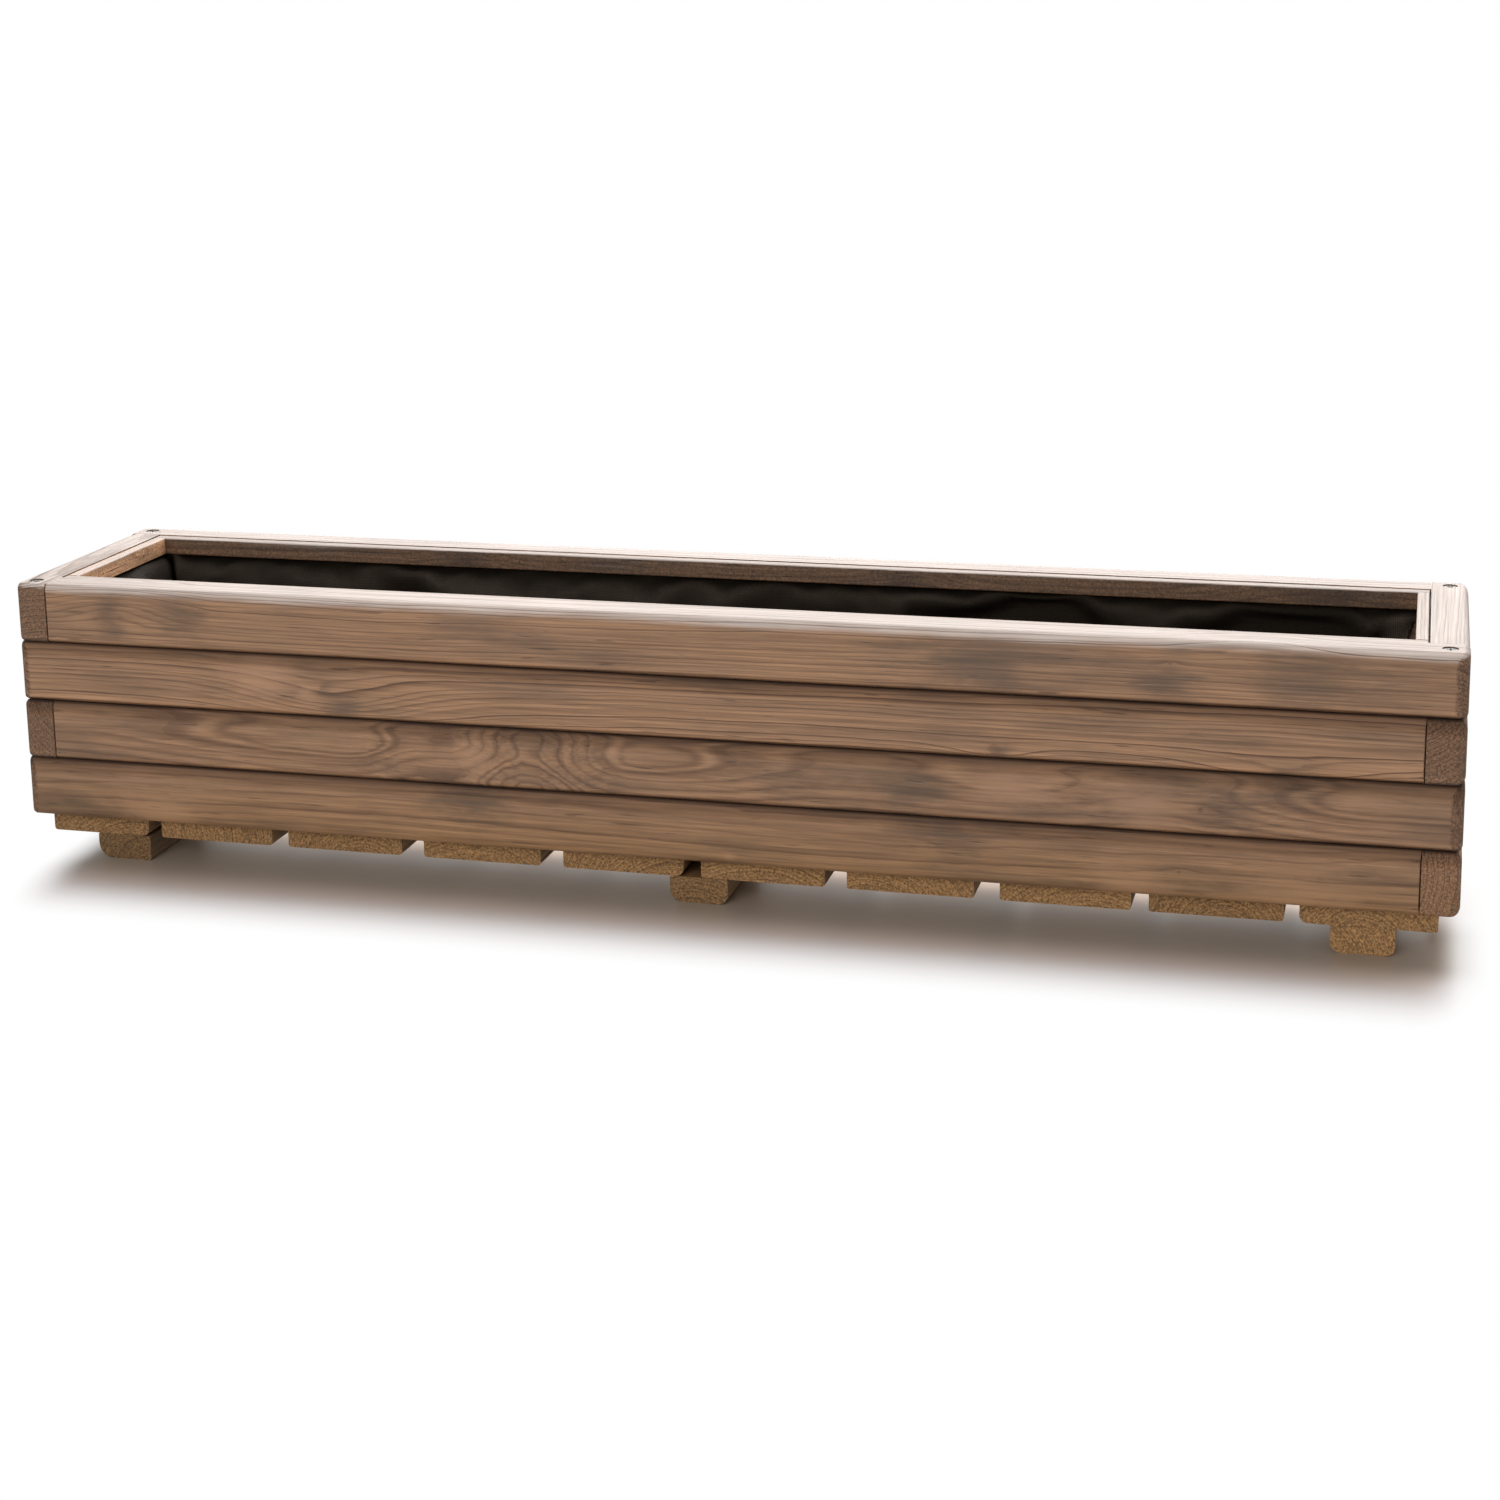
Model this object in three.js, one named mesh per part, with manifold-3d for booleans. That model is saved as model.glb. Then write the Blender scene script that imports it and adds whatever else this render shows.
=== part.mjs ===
// Window box planter: a long timber trough of four courses of rounded rails on a slatted base.
//
// Every course is a ring of four rails laid like a pinwheel: each rail butts against its neighbour
// at one end and runs through to the corner at the other. Alternate courses are laid the other way
// round, so end grain and long grain alternate up each corner.
// A dowel pegs every butt joint, and one long screw pins the run-through ends at each corner.
// Millimetres, +Z up, front towards -Y. The origin is on the ground under the middle.

import * as THREE from "three";
import { mergeVertices } from "three/addons/utils/BufferGeometryUtils.js";
import Module from "manifold-3d";

const wasm = await Module();
wasm.setup();

// ---------------------------------------------------------------- driving dimensions

const planterLength = 1100;
const planterDepth = 220;
const seatGap = 0.2; // between timbers that sit on or against each other

const railHeight = 47;
const railThickness = 27;
const railTopRadius = 9; // long outer edge at the top
const railFootRadius = 6.5; // long outer edge at the bottom
const railCornerRadius = 10; // outer upright edge of the run-through end
const railEndRadius = 4; // top and bottom edges of the run-through end

const battenThickness = 8.5;
const battenHeight = 14;
const battenDrop = 0.5; // below the top of the rails
const battenEdgeRadius = 1;

const slatWidth = 95;
const slatThickness = 16;
const slatTopRadius = 2;
const slatBottomRadius = 2.5;
const firstSlatTrim = 12; // the left-hand slat is ripped narrower by this
const smallestSlatGap = 8;
const baseInset = 14; // slats and bearers stop short of the rails' outer faces

const bearerWidth = 45;
const bearerHeight = 20;
const bearerFootRadius = 9;
const leftBearerInset = 75; // middle of the bearer from the planter's left end
const rightBearerInset = 65;

const dowelRadius = 4;
const dowelLength = 35;
const dowelFaceDepth = 9; // how far a dowel reaches into the rail that it butts against
const dowelChamfer = 0.8;
const dowelClearance = 0.15;

const screwEndCover = 7.8; // wood left under the point of a screw
const screwShankRadius = 3;
const screwHeadRadius = 5.5;
const screwHeadRim = 0.6;
const screwPointLength = 9;
const screwSink = 0.8; // head below the wood
const screwClearance = 0.3;
const recessWidth = 1.2;
const recessSpan = 6;
const recessDepth = 2.2;

const linerThickness = 0.8;
const linerClearance = 0.3;
const linerTopDrop = 3; // below the top of the rails

const arcSteps = 6; // flats in a quarter round
const smallArcSteps = 3; // flats in a small quarter round
const roundSides = 16; // flats round a dowel or a screw

// Widths of the gaps between slats, as shares of their mean: the base is spaced by eye.
const slatGapShares = [0.75, 0.93, 1.22, 1.22, 0.92, 1.12, 1.27, 0.85, 0.72];

const levels = ["bottom", "lower", "upper", "top"];
const sides = ["front", "right", "back", "left"];

// ---------------------------------------------------------------- heights and lengths that follow

const slatBottom = bearerHeight + seatGap;
const slatTop = slatBottom + slatThickness;
const wallBottom = slatTop + seatGap;
const coursePitch = railHeight + seatGap;
const wallTop = wallBottom + levels.length * coursePitch - seatGap;
const baseLength = planterLength - 2 * baseInset;
const slatLength = planterDepth - 2 * baseInset;
const innerLength = planterLength - 2 * railThickness;
const innerDepth = planterDepth - 2 * railThickness;
const screwLength = wallTop - screwSink - wallBottom - screwEndCover;
const linerWallSpace = linerThickness + 2 * linerClearance; // room for the liner behind a batten

// ---------------------------------------------------------------- materials

const wood = (colour) => new THREE.MeshStandardMaterial({ color: colour, roughness: 0.62, metalness: 0 });
const treatedRedwood = wood(0x946f58);
const battenWood = wood(0x9c7b66);
const sawnBoard = wood(0x92704b);
const beech = wood(0xc9a273);
const galvanisedSteel = new THREE.MeshStandardMaterial({ color: 0xa9a8a4, roughness: 0.42, metalness: 1 });
const wovenLiner = new THREE.MeshStandardMaterial({ color: 0x17140f, roughness: 0.82, metalness: 0 });

// ---------------------------------------------------------------- shape helpers

// A closed mesh with shared vertices merged, as a solid that can be cut and joined.
function solidOf(geometry) {
  const loose = geometry.index ? geometry.toNonIndexed() : geometry;
  const bare = new THREE.BufferGeometry().setAttribute("position", loose.getAttribute("position"));
  const merged = mergeVertices(bare, 1e-4);
  const vertProperties = merged.getAttribute("position").array;
  return new wasm.Manifold(
    new wasm.Mesh({ numProp: 3, vertProperties, triVerts: new Uint32Array(merged.index.array) }),
  );
}

function geometryOf(solid) {
  const { vertProperties, triVerts } = solid.getMesh();
  const geometry = new THREE.BufferGeometry();
  geometry.setAttribute("position", new THREE.BufferAttribute(vertProperties, 3));
  geometry.setIndex(new THREE.BufferAttribute(triVerts, 1));
  geometry.computeVertexNormals();
  return geometry;
}

// A rectangle from (0, 0) to (width, height) with its own radius and number of flats at each corner,
// in the order: low-low, high-low, high-high, low-high.
function roundedRectangle(width, height, corners) {
  const turns = [
    { x: 0, y: 0, from: Math.PI },
    { x: width, y: 0, from: 1.5 * Math.PI },
    { x: width, y: height, from: 0 },
    { x: 0, y: height, from: 0.5 * Math.PI },
  ];
  const points = turns.flatMap(({ x, y, from }, i) => {
    const { radius = 0, steps = arcSteps } = corners[i] ?? {};
    if (radius === 0) return [new THREE.Vector2(x, y)];
    const centre = new THREE.Vector2(x ? x - radius : radius, y ? y - radius : radius);
    return Array.from({ length: steps + 1 }, (_, step) => {
      const angle = from + (step / steps) * 0.5 * Math.PI;
      return new THREE.Vector2(centre.x + radius * Math.cos(angle), centre.y + radius * Math.sin(angle));
    });
  });
  return new THREE.Shape(points);
}

// Each helper lays a flat outline in two of the axes and extrudes it along the third, from 0.
const axis = { x: new THREE.Vector3(1, 0, 0), y: new THREE.Vector3(0, 1, 0), z: new THREE.Vector3(0, 0, 1) };
const extrude = (outline, depth) => new THREE.ExtrudeGeometry(outline, { depth, bevelEnabled: false });
const alongX = (outline, depth) => lay(extrude(outline, depth), axis.y, axis.z, axis.x);
const alongZ = (outline, depth) => extrude(outline, depth);
// The outline's own second axis is turned down here, so that the solid keeps facing outwards.
const alongY = (outline, depth) => lay(extrude(outline, depth), axis.x, axis.z.clone().negate(), axis.y);

function lay(geometry, first, second, third) {
  return geometry.applyMatrix4(new THREE.Matrix4().makeBasis(first, second, third));
}

function box(width, depth, height) {
  return new THREE.BoxGeometry(width, depth, height);
}

// A turned solid standing on the Z axis, from a profile of [radius, height] that starts and ends on it.
function turned(profile) {
  const points = profile.map(([radius, height]) => new THREE.Vector2(radius, height));
  return new THREE.LatheGeometry(points, roundSides).rotateX(Math.PI / 2);
}

function piece(name, geometry, material) {
  const mesh = new THREE.Mesh(geometry, material);
  mesh.name = name;
  return mesh;
}

// ---------------------------------------------------------------- rails

// One rail with its outer face at y = 0, centred on its length and height. Its run-through end is at +X
// for hand 1, or at -X for hand -1, and its butt end is at the other.
function railGeometry(length, hand) {
  const ends = (left, right) => (hand > 0 ? [left, right] : [right, left]);
  const foot = { radius: railFootRadius };
  const top = { radius: railTopRadius };
  const corner = { radius: railCornerRadius };
  const endEdge = { radius: railEndRadius, steps: smallArcSteps };
  const section = roundedRectangle(railThickness, railHeight, [foot, {}, {}, top]);
  const plan = roundedRectangle(length, railThickness, [...ends({}, corner), {}, {}]);
  const elevation = roundedRectangle(length, railHeight, [...ends({}, endEdge), ...ends(endEdge, {})]);
  const rounded = solidOf(alongX(section, length))
    .intersect(solidOf(alongZ(plan, railHeight)))
    .intersect(solidOf(alongY(elevation, railThickness).translate(0, 0, railHeight)));
  return geometryOf(rounded).translate(-length / 2, 0, -railHeight / 2);
}

// The four rails of a course. hand is 1 where the front rail runs through at the right, or -1 at the left.
function courseOfRails(level, hand, height) {
  const course = new THREE.Group();
  sides.forEach((side, i) => {
    const [run, across] = i % 2 ? [planterDepth, planterLength] : [planterLength, planterDepth];
    const length = run - railThickness - seatGap;
    const rail = piece(`${level}_${side}_rail`, railGeometry(length, hand), treatedRedwood);
    rail.position.set((hand * (run - length)) / 2, -across / 2, height);
    const dowel = piece(`${level}_${side}_dowel`, dowelGeometry(0), beech);
    dowel.userData.hole = dowelGeometry(dowelClearance);
    dowel.rotation.y = (hand * Math.PI) / 2;
    const buttEnd = run / 2 - railThickness;
    dowel.position.set(-hand * (buttEnd + dowelFaceDepth), -across / 2 + railThickness / 2, height);
    const turn = new THREE.Group();
    turn.rotation.z = (i * Math.PI) / 2;
    turn.add(rail, dowel);
    course.add(turn);
  });
  return course;
}

// ---------------------------------------------------------------- fasteners

// A dowel standing on the Z axis from 0, or the hole for it if a clearance is given.
function dowelGeometry(clearance) {
  const radius = dowelRadius + clearance;
  return turned([
    [0, -clearance],
    [radius - dowelChamfer, -clearance],
    [radius, dowelChamfer - clearance],
    [radius, dowelLength - dowelChamfer + clearance],
    [radius - dowelChamfer, dowelLength + clearance],
    [0, dowelLength + clearance],
  ]);
}

// A countersunk screw pointing down from its head at z = 0.
function screwGeometry() {
  const coneHeight = screwHeadRadius - screwShankRadius;
  const body = turned([
    [0, -screwLength],
    [screwShankRadius, -screwLength + screwPointLength],
    [screwShankRadius, -screwHeadRim - coneHeight],
    [screwHeadRadius, -screwHeadRim],
    [screwHeadRadius, 0],
    [0, 0],
  ]);
  const slot = solidOf(box(recessSpan, recessWidth, 2 * recessDepth));
  const cross = slot.add(solidOf(box(recessWidth, recessSpan, 2 * recessDepth)));
  return geometryOf(solidOf(body).subtract(cross));
}

// The hole for that screw, with its countersink open to the top.
function screwHoleGeometry() {
  const coneHeight = screwHeadRadius - screwShankRadius;
  const shank = screwShankRadius + screwClearance;
  const head = screwHeadRadius + screwClearance;
  const mouth = screwSink + screwClearance;
  return turned([
    [0, -screwLength - screwClearance],
    [shank, -screwLength - screwClearance],
    [shank, -screwHeadRim - coneHeight - screwClearance],
    [head, -screwHeadRim - screwClearance],
    [head, mouth],
    [0, mouth],
  ]);
}

// One long screw down through the run-through ends at each corner.
function cornerScrews() {
  const group = new THREE.Group();
  for (const [end, x] of [["left", -1], ["right", 1]]) {
    for (const [face, y] of [["front", -1], ["back", 1]]) {
      const screw = piece(`${face}_${end}_corner_screw`, screwGeometry(), galvanisedSteel);
      screw.userData.hole = screwHoleGeometry();
      screw.position.set(
        (x * (planterLength - railThickness)) / 2,
        (y * (planterDepth - railThickness)) / 2,
        wallTop - screwSink,
      );
      group.add(screw);
    }
  }
  return group;
}

// Cuts the holes of every fastener out of the rails that it passes through.
function drillRails(root) {
  root.updateMatrixWorld(true);
  const fasteners = [];
  const rails = [];
  root.traverse((o) => {
    if (o.userData.hole) fasteners.push(o);
    if (o.isMesh && o.name.endsWith("_rail")) rails.push(o);
  });
  const extent = (geometry, matrix) => new THREE.Box3().setFromBufferAttribute(
    geometry.clone().applyMatrix4(matrix).getAttribute("position"),
  );
  for (const rail of rails) {
    const railBox = extent(rail.geometry, rail.matrixWorld);
    const toRail = rail.matrixWorld.clone().invert();
    let solid = solidOf(rail.geometry);
    for (const fastener of fasteners) {
      const hole = fastener.userData.hole;
      if (!railBox.intersectsBox(extent(hole, fastener.matrixWorld))) continue;
      const placed = hole.clone().applyMatrix4(toRail.clone().multiply(fastener.matrixWorld));
      solid = solid.subtract(solidOf(placed));
    }
    rail.geometry = geometryOf(solid);
  }
}

// ---------------------------------------------------------------- liner and its battens

// A batten's section has its back at y = 0, and one eased edge along the top of its open face.
function battenGeometry(length) {
  const eased = { radius: battenEdgeRadius, steps: smallArcSteps };
  const section = roundedRectangle(battenThickness, battenHeight, [{}, eased, eased, {}]);
  return alongX(section, length).translate(-length / 2, 0, 0);
}

// The long battens run the whole inside length, and the end battens fit between them.
function linerBattens() {
  const group = new THREE.Group();
  sides.forEach((side, i) => {
    const long = i % 2 === 0;
    const between = innerDepth - 2 * (linerWallSpace + battenThickness + seatGap);
    const length = long ? innerLength - 2 * linerWallSpace : between;
    const batten = piece(`${side}_liner_batten`, battenGeometry(length), battenWood);
    const across = long ? innerDepth : innerLength;
    batten.position.set(0, -across / 2 + linerWallSpace, wallTop - battenDrop - battenHeight);
    const turn = new THREE.Group();
    turn.rotation.z = (i * Math.PI) / 2;
    turn.add(batten);
    group.add(turn);
  });
  return group;
}

// The liner is a sheet pressed against the walls and the slats, as a thin open box.
function liner() {
  const length = innerLength - 2 * linerClearance;
  const depth = innerDepth - 2 * linerClearance;
  const bottom = slatTop + linerClearance;
  const height = wallTop - linerTopDrop - bottom;
  const outside = box(length, depth, height).translate(0, 0, height / 2);
  const inside = box(length - 2 * linerThickness, depth - 2 * linerThickness, height)
    .translate(0, 0, height / 2 + linerThickness);
  const shell = solidOf(outside).subtract(solidOf(inside));
  const mesh = piece("liner", geometryOf(shell), wovenLiner);
  mesh.position.z = bottom;
  return mesh;
}

// ---------------------------------------------------------------- base

function slatGeometry(width) {
  const top = { radius: slatTopRadius, steps: smallArcSteps };
  const bottom = { radius: slatBottomRadius, steps: 1 };
  // Laid with alongY, the outline's height runs downwards, so its first edge is the slat's top.
  const section = roundedRectangle(width, slatThickness, [top, top, bottom, bottom]);
  return alongY(section, slatLength).translate(0, -slatLength / 2, slatThickness);
}

// As many slats as fit with at least the smallest gap, the left-hand one ripped narrower.
function baseSlats() {
  const group = new THREE.Group();
  const count = Math.floor((baseLength + smallestSlatGap) / (slatWidth + smallestSlatGap));
  const shares = Array.from({ length: count - 1 }, (_, i) => slatGapShares[i % slatGapShares.length]);
  const free = baseLength - count * slatWidth + firstSlatTrim;
  const gapUnit = free / shares.reduce((sum, share) => sum + share, 0);
  let left = -baseLength / 2;
  for (let i = 0; i < count; i += 1) {
    const width = i === 0 ? slatWidth - firstSlatTrim : slatWidth;
    const slat = piece(`base_slat_${i + 1}`, slatGeometry(width), sawnBoard);
    slat.position.set(left, 0, slatBottom);
    group.add(slat);
    left += width + (shares[i] ?? 0) * gapUnit;
  }
  return group;
}

function bearers() {
  const group = new THREE.Group();
  const foot = { radius: bearerFootRadius };
  const section = roundedRectangle(bearerWidth, bearerHeight, [{}, {}, foot, foot]);
  const places = {
    left_bearer: -planterLength / 2 + leftBearerInset,
    middle_bearer: 0,
    right_bearer: planterLength / 2 - rightBearerInset,
  };
  for (const [name, x] of Object.entries(places)) {
    const geometry = alongY(section, slatLength).translate(-bearerWidth / 2, -slatLength / 2, bearerHeight);
    const bearer = piece(name, geometry, sawnBoard);
    bearer.position.x = x;
    group.add(bearer);
  }
  return group;
}

// ---------------------------------------------------------------- assembly

const planter = new THREE.Group();
levels.forEach((level, i) => {
  const hand = (levels.length - i) % 2 ? 1 : -1; // the top course runs through at the front right
  planter.add(courseOfRails(level, hand, wallBottom + i * coursePitch + railHeight / 2));
});
planter.add(cornerScrews());
drillRails(planter);
planter.add(liner(), linerBattens(), baseSlats(), bearers());

export default planter;
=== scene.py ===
# %% [markdown]
# # A timber window box
#
# This scene dresses a finished CAD model of a window box: sixteen rails laid like a log cabin, four
# battens that clamp a black liner, and a base of slats on three bearers. The CAD model fixes every
# size. Here the timber gets its figure, the liner is draped, and the small fasteners are added.

# %% The frame
import math
import random

import bmesh
import bpy
from mathutils import Matrix, Vector


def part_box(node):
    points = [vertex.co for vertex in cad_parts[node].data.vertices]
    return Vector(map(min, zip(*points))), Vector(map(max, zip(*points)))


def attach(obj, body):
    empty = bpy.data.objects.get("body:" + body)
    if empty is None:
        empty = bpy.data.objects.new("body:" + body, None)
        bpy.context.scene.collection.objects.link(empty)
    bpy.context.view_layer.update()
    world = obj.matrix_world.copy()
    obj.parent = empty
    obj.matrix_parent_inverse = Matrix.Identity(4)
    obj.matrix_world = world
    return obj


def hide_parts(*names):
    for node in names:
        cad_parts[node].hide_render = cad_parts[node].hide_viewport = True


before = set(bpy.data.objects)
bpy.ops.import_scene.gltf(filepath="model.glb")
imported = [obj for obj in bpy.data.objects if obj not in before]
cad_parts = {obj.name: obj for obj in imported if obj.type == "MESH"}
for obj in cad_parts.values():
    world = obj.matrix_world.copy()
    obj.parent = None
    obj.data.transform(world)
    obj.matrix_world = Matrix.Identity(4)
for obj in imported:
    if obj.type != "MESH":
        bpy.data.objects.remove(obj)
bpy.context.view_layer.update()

# %% [markdown]
# ## Units and colours
#
# Blender works in metres and in linear light. Workshop sizes are in millimetres and colours are
# given as sRGB, so one small function turns each of them.


# %% Units and colours
def mm(*sizes):
    """Millimetres to metres: one number, or a tuple of them."""
    metres = tuple(size / 1000 for size in sizes)
    return metres[0] if len(metres) == 1 else metres


def srgb(code):
    """An sRGB hex colour as linear RGBA."""
    channels = [int(code[i : i + 2], 16) / 255 for i in (1, 3, 5)]
    linear = [c / 12.92 if c <= 0.04045 else ((c + 0.055) / 1.055) ** 2.4 for c in channels]
    return (*linear, 1.0)


# %% [markdown]
# ## The camera
#
# The planter was photographed from a little right of its middle and from above the rim, with a
# short telephoto. The rails' long edges run away to the left, so the heading matters more than
# anything else: it sets how fast they converge. A small shift keeps the uprights nearly upright.

# %% The camera
IMAGE_SIDE = 1500
SENSOR = 36.0
FOCAL_PIXELS = 2587.5
CAMERA_PLACE = mm(515.7, -1869.1, 670.1)
HEADING, PITCH, ROLL = 0.26012, -0.20338, 0.01439
SHIFT_DOWN = -0.15
QUARTER_TURN = math.pi / 2


def placed(name, data):
    """A new object in the scene."""
    made = bpy.data.objects.new(name, data)
    bpy.context.collection.objects.link(made)
    return made


camera_data = bpy.data.cameras.new("photo_camera")
camera_data.sensor_width = SENSOR
camera_data.lens = FOCAL_PIXELS / IMAGE_SIDE * SENSOR
camera_data.shift_y = SHIFT_DOWN
camera = placed("photo_camera", camera_data)
look = Matrix.Translation(CAMERA_PLACE)
for angle, axis in ((HEADING, "Z"), (PITCH, "X"), (ROLL, "Y"), (QUARTER_TURN, "X")):
    look = look @ Matrix.Rotation(angle, 4, axis)
camera.matrix_world = look
bpy.context.scene.camera = camera
print("lens, mm:", round(camera_data.lens, 1))

# %% [markdown]
# ## Building materials from nodes
#
# Every material below is a tree of nodes. One function adds a node, sets it and links it, and gives
# back the output that the next node needs, so a tree reads from top to bottom. The short functions
# after it are for the nodes that every tree needs.


# %% Adding a node
def node(tree, kind, inputs=None, out=0, **settings):
    """Adds a node. Inputs are values or sockets by name or number. Returns one of its outputs."""
    made = tree.nodes.new(kind)
    for name, value in settings.items():
        setattr(made, name, value)
    for key, value in (inputs or {}).items():
        if isinstance(value, bpy.types.NodeSocket):
            tree.links.new(value, made.inputs[key])
        else:
            made.inputs[key].default_value = value
    return made.outputs[out]


def new_material(name):
    """A material with an empty tree and its output node."""
    material = bpy.data.materials.new(name)
    material.use_nodes = True
    tree = material.node_tree
    tree.nodes.clear()
    output = tree.nodes.new("ShaderNodeOutputMaterial")
    return material, tree, output


# %% Nodes that are used again and again
def calc(tree, operation, *values, clamp=False):
    """Arithmetic on numbers."""
    return node(tree, "ShaderNodeMath", dict(enumerate(values)), operation=operation, use_clamp=clamp)


def vector_calc(tree, operation, *values):
    """Arithmetic on vectors. It gives a vector, or a number for a length or a dot product."""
    out = "Value" if operation in ("LENGTH", "DOT_PRODUCT") else "Vector"
    return node(tree, "ShaderNodeVectorMath", dict(enumerate(values)), out, operation=operation)


def remap(tree, value, low, high, to_low, to_high, smooth=False):
    """Maps a range of numbers onto another one, and stops at its ends."""
    limits = dict(enumerate((value, low, high, to_low, to_high)))
    curve = "SMOOTHSTEP" if smooth else "LINEAR"
    return node(tree, "ShaderNodeMapRange", limits, interpolation_type=curve)


def bell(tree, distance):
    """One at no distance, falling to nothing as a bell curve does."""
    squared = calc(tree, "POWER", distance, 2.0)
    return calc(tree, "EXPONENT", calc(tree, "MULTIPLY", squared, -1.0))


def mix(tree, factor, a, b):
    """Mixes two numbers."""
    return node(tree, "ShaderNodeMix", {0: factor, 2: a, 3: b}, data_type="FLOAT")


def blend(tree, factor, a, b, mode="MIX"):
    """Mixes two colours."""
    return node(tree, "ShaderNodeMix", {0: factor, 6: a, 7: b}, 2, data_type="RGBA", blend_type=mode)


def shaded(tree, colour, shade):
    """A colour multiplied by another one."""
    return blend(tree, 1.0, colour, shade, "MULTIPLY")


def grey(tree, value):
    """A number as a grey."""
    return node(tree, "ShaderNodeCombineColor", {0: value, 1: value, 2: value})


def ramp(tree, factor, stops):
    """A colour ramp. Each stop is its position and its colour. The first is at 0, the last at 1."""
    made = node(tree, "ShaderNodeValToRGB", {"Fac": factor})
    elements = made.node.color_ramp.elements
    elements[0].color = (*stops[0][1], 1)
    elements[1].color = (*stops[-1][1], 1)
    for position, colour in stops[1:-1]:
        elements.new(position).color = (*colour, 1)
    return made


def split(tree, vector):
    """The X, Y and Z of a vector."""
    return node(tree, "ShaderNodeSeparateXYZ", {0: vector}).node.outputs


def coordinates(tree, kind):
    """The Object coordinates or the Normal of a point."""
    return node(tree, "ShaderNodeTexCoord", out=kind)


def attribute(tree, name):
    """The vector that the mesh stores under a name."""
    return node(tree, "ShaderNodeAttribute", out="Vector", attribute_name=name)


def hand_out(tree, outputs):
    """Gives a node group its outputs, which are numbers by name."""
    for name in outputs:
        tree.interface.new_socket(name, in_out="OUTPUT", socket_type="NodeSocketFloat")
    node_out = tree.nodes.new("NodeGroupOutput")
    for name, value in outputs.items():
        tree.links.new(value, node_out.inputs[name])


# %% [markdown]
# ## The studio
#
# The planter stands on a white sweep. Only its shadow shows on it. Two big soft lights hang behind,
# so the flat tops of the rails mirror them at a low angle and turn nearly white, helped by a
# highlight painted on the rim's wood, while the fronts are lit by a weaker front light and by the
# floor. The shadow is dark and warm under the front edge and gone a hand's breadth away: near the
# base the floor that the camera sees is painted a warm shade, and a band in front of the base is
# painted darker, as painted shadow. Glossy rays see a darker copy of the paper, a painted dimming of
# its reflection. The white that the camera sees is the floor's and the world's own colour for camera
# rays, and adds no light to the timber. A weak lamp lies under the base, because light from behind
# comes through there.

# %% The sweep
FLOOR_HALF = 6.0
SHADOW_MIDDLE, SHADOW_HALF = mm(18, 0, 0), mm(501, 110, 0)  # the part of the floor in full shadow
SHADOW_NARROWING = (2.2, 1, 0)  # it ends sooner at its sides than in front
SHADOW_FADE = mm(32, 120)  # how far from that part it starts and ends to fade
PAINTED_SHADOW_LINE = mm(78)  # how far in front of the middle the painted darkest line of shadow lies
PAINTED_SHADOW_FADE = mm(26, 74)


def mesh_from(bm, name):
    """The mesh of a finished bmesh."""
    mesh = bpy.data.meshes.new(name)
    bm.to_mesh(mesh)
    bm.free()
    return mesh


sweep_bm = bmesh.new()
bmesh.ops.create_grid(sweep_bm, x_segments=2, y_segments=2, size=FLOOR_HALF)
sweep = placed("white_sweep", mesh_from(sweep_bm, "white_sweep"))

sweep_paper, tree, output = new_material("matt_white_paper")
rays = node(tree, "ShaderNodeLightPath").node.outputs
paper = node(tree, "ShaderNodeBsdfDiffuse", {"Color": srgb("#E2E0DE")})
# Glossy rays see a darker copy of the paper: a painted dimming of the floor's reflection.
paper_dimmed_in_reflections = node(tree, "ShaderNodeBsdfDiffuse", {"Color": srgb("#98948F")})
pure = node(tree, "ShaderNodeEmission", {"Color": (1, 1, 1, 1), "Strength": 1.0})
away = vector_calc(tree, "SUBTRACT", coordinates(tree, "Object"), SHADOW_MIDDLE)
away = vector_calc(tree, "SUBTRACT", vector_calc(tree, "ABSOLUTE", away), SHADOW_HALF)
away = vector_calc(tree, "MAXIMUM", away, (0, 0, 0))
away = vector_calc(tree, "LENGTH", vector_calc(tree, "MULTIPLY", away, SHADOW_NARROWING))
# Painted shade: near the base the floor that the camera sees turns a warm shade.
painted_floor_shade = blend(tree, remap(tree, away, 0, mm(60), 1, 0), srgb("#D9D0CC"), srgb("#CDBAAA"))
# front is the painted shadow band in front of the base, darker still.
front = calc(tree, "ADD", split(tree, coordinates(tree, "Object"))["Y"], PAINTED_SHADOW_LINE)
front = remap(tree, calc(tree, "ABSOLUTE", front), *PAINTED_SHADOW_FADE, 1, 0, smooth=True)
painted_floor_shade = blend(tree, front, painted_floor_shade, srgb("#A09283"))
seen_paper = node(tree, "ShaderNodeBsdfPrincipled", {"Base Color": painted_floor_shade, "Roughness": 0.3, "IOR": 1.45})
far = remap(tree, away, *SHADOW_FADE, 0, 1, smooth=True)
seen = node(tree, "ShaderNodeMixShader", {0: far, 1: seen_paper, 2: pure})
both = node(tree, "ShaderNodeMixShader", {0: rays["Is Glossy Ray"], 1: paper, 2: paper_dimmed_in_reflections})
both = node(tree, "ShaderNodeMixShader", {0: rays["Is Camera Ray"], 1: both, 2: seen})
tree.links.new(both, output.inputs["Surface"])
sweep.data.materials.append(sweep_paper)

# %% The room
world = bpy.data.worlds.new("white_room")
bpy.context.scene.world = world
world.use_nodes = True
tree = world.node_tree
tree.nodes.clear()
rays = node(tree, "ShaderNodeLightPath").node.outputs
seen = calc(tree, "MAXIMUM", rays["Is Camera Ray"], rays["Is Transmission Ray"])
ambient = node(tree, "ShaderNodeBackground", {"Color": srgb("#F4F6FA"), "Strength": 0.5})
white = node(tree, "ShaderNodeBackground", {"Color": (1, 1, 1, 1), "Strength": 1.0})
both = node(tree, "ShaderNodeMixShader", {0: seen, 1: ambient, 2: white})
room_out = tree.nodes.new("ShaderNodeOutputWorld")
tree.links.new(both, room_out.inputs["Surface"])


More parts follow.
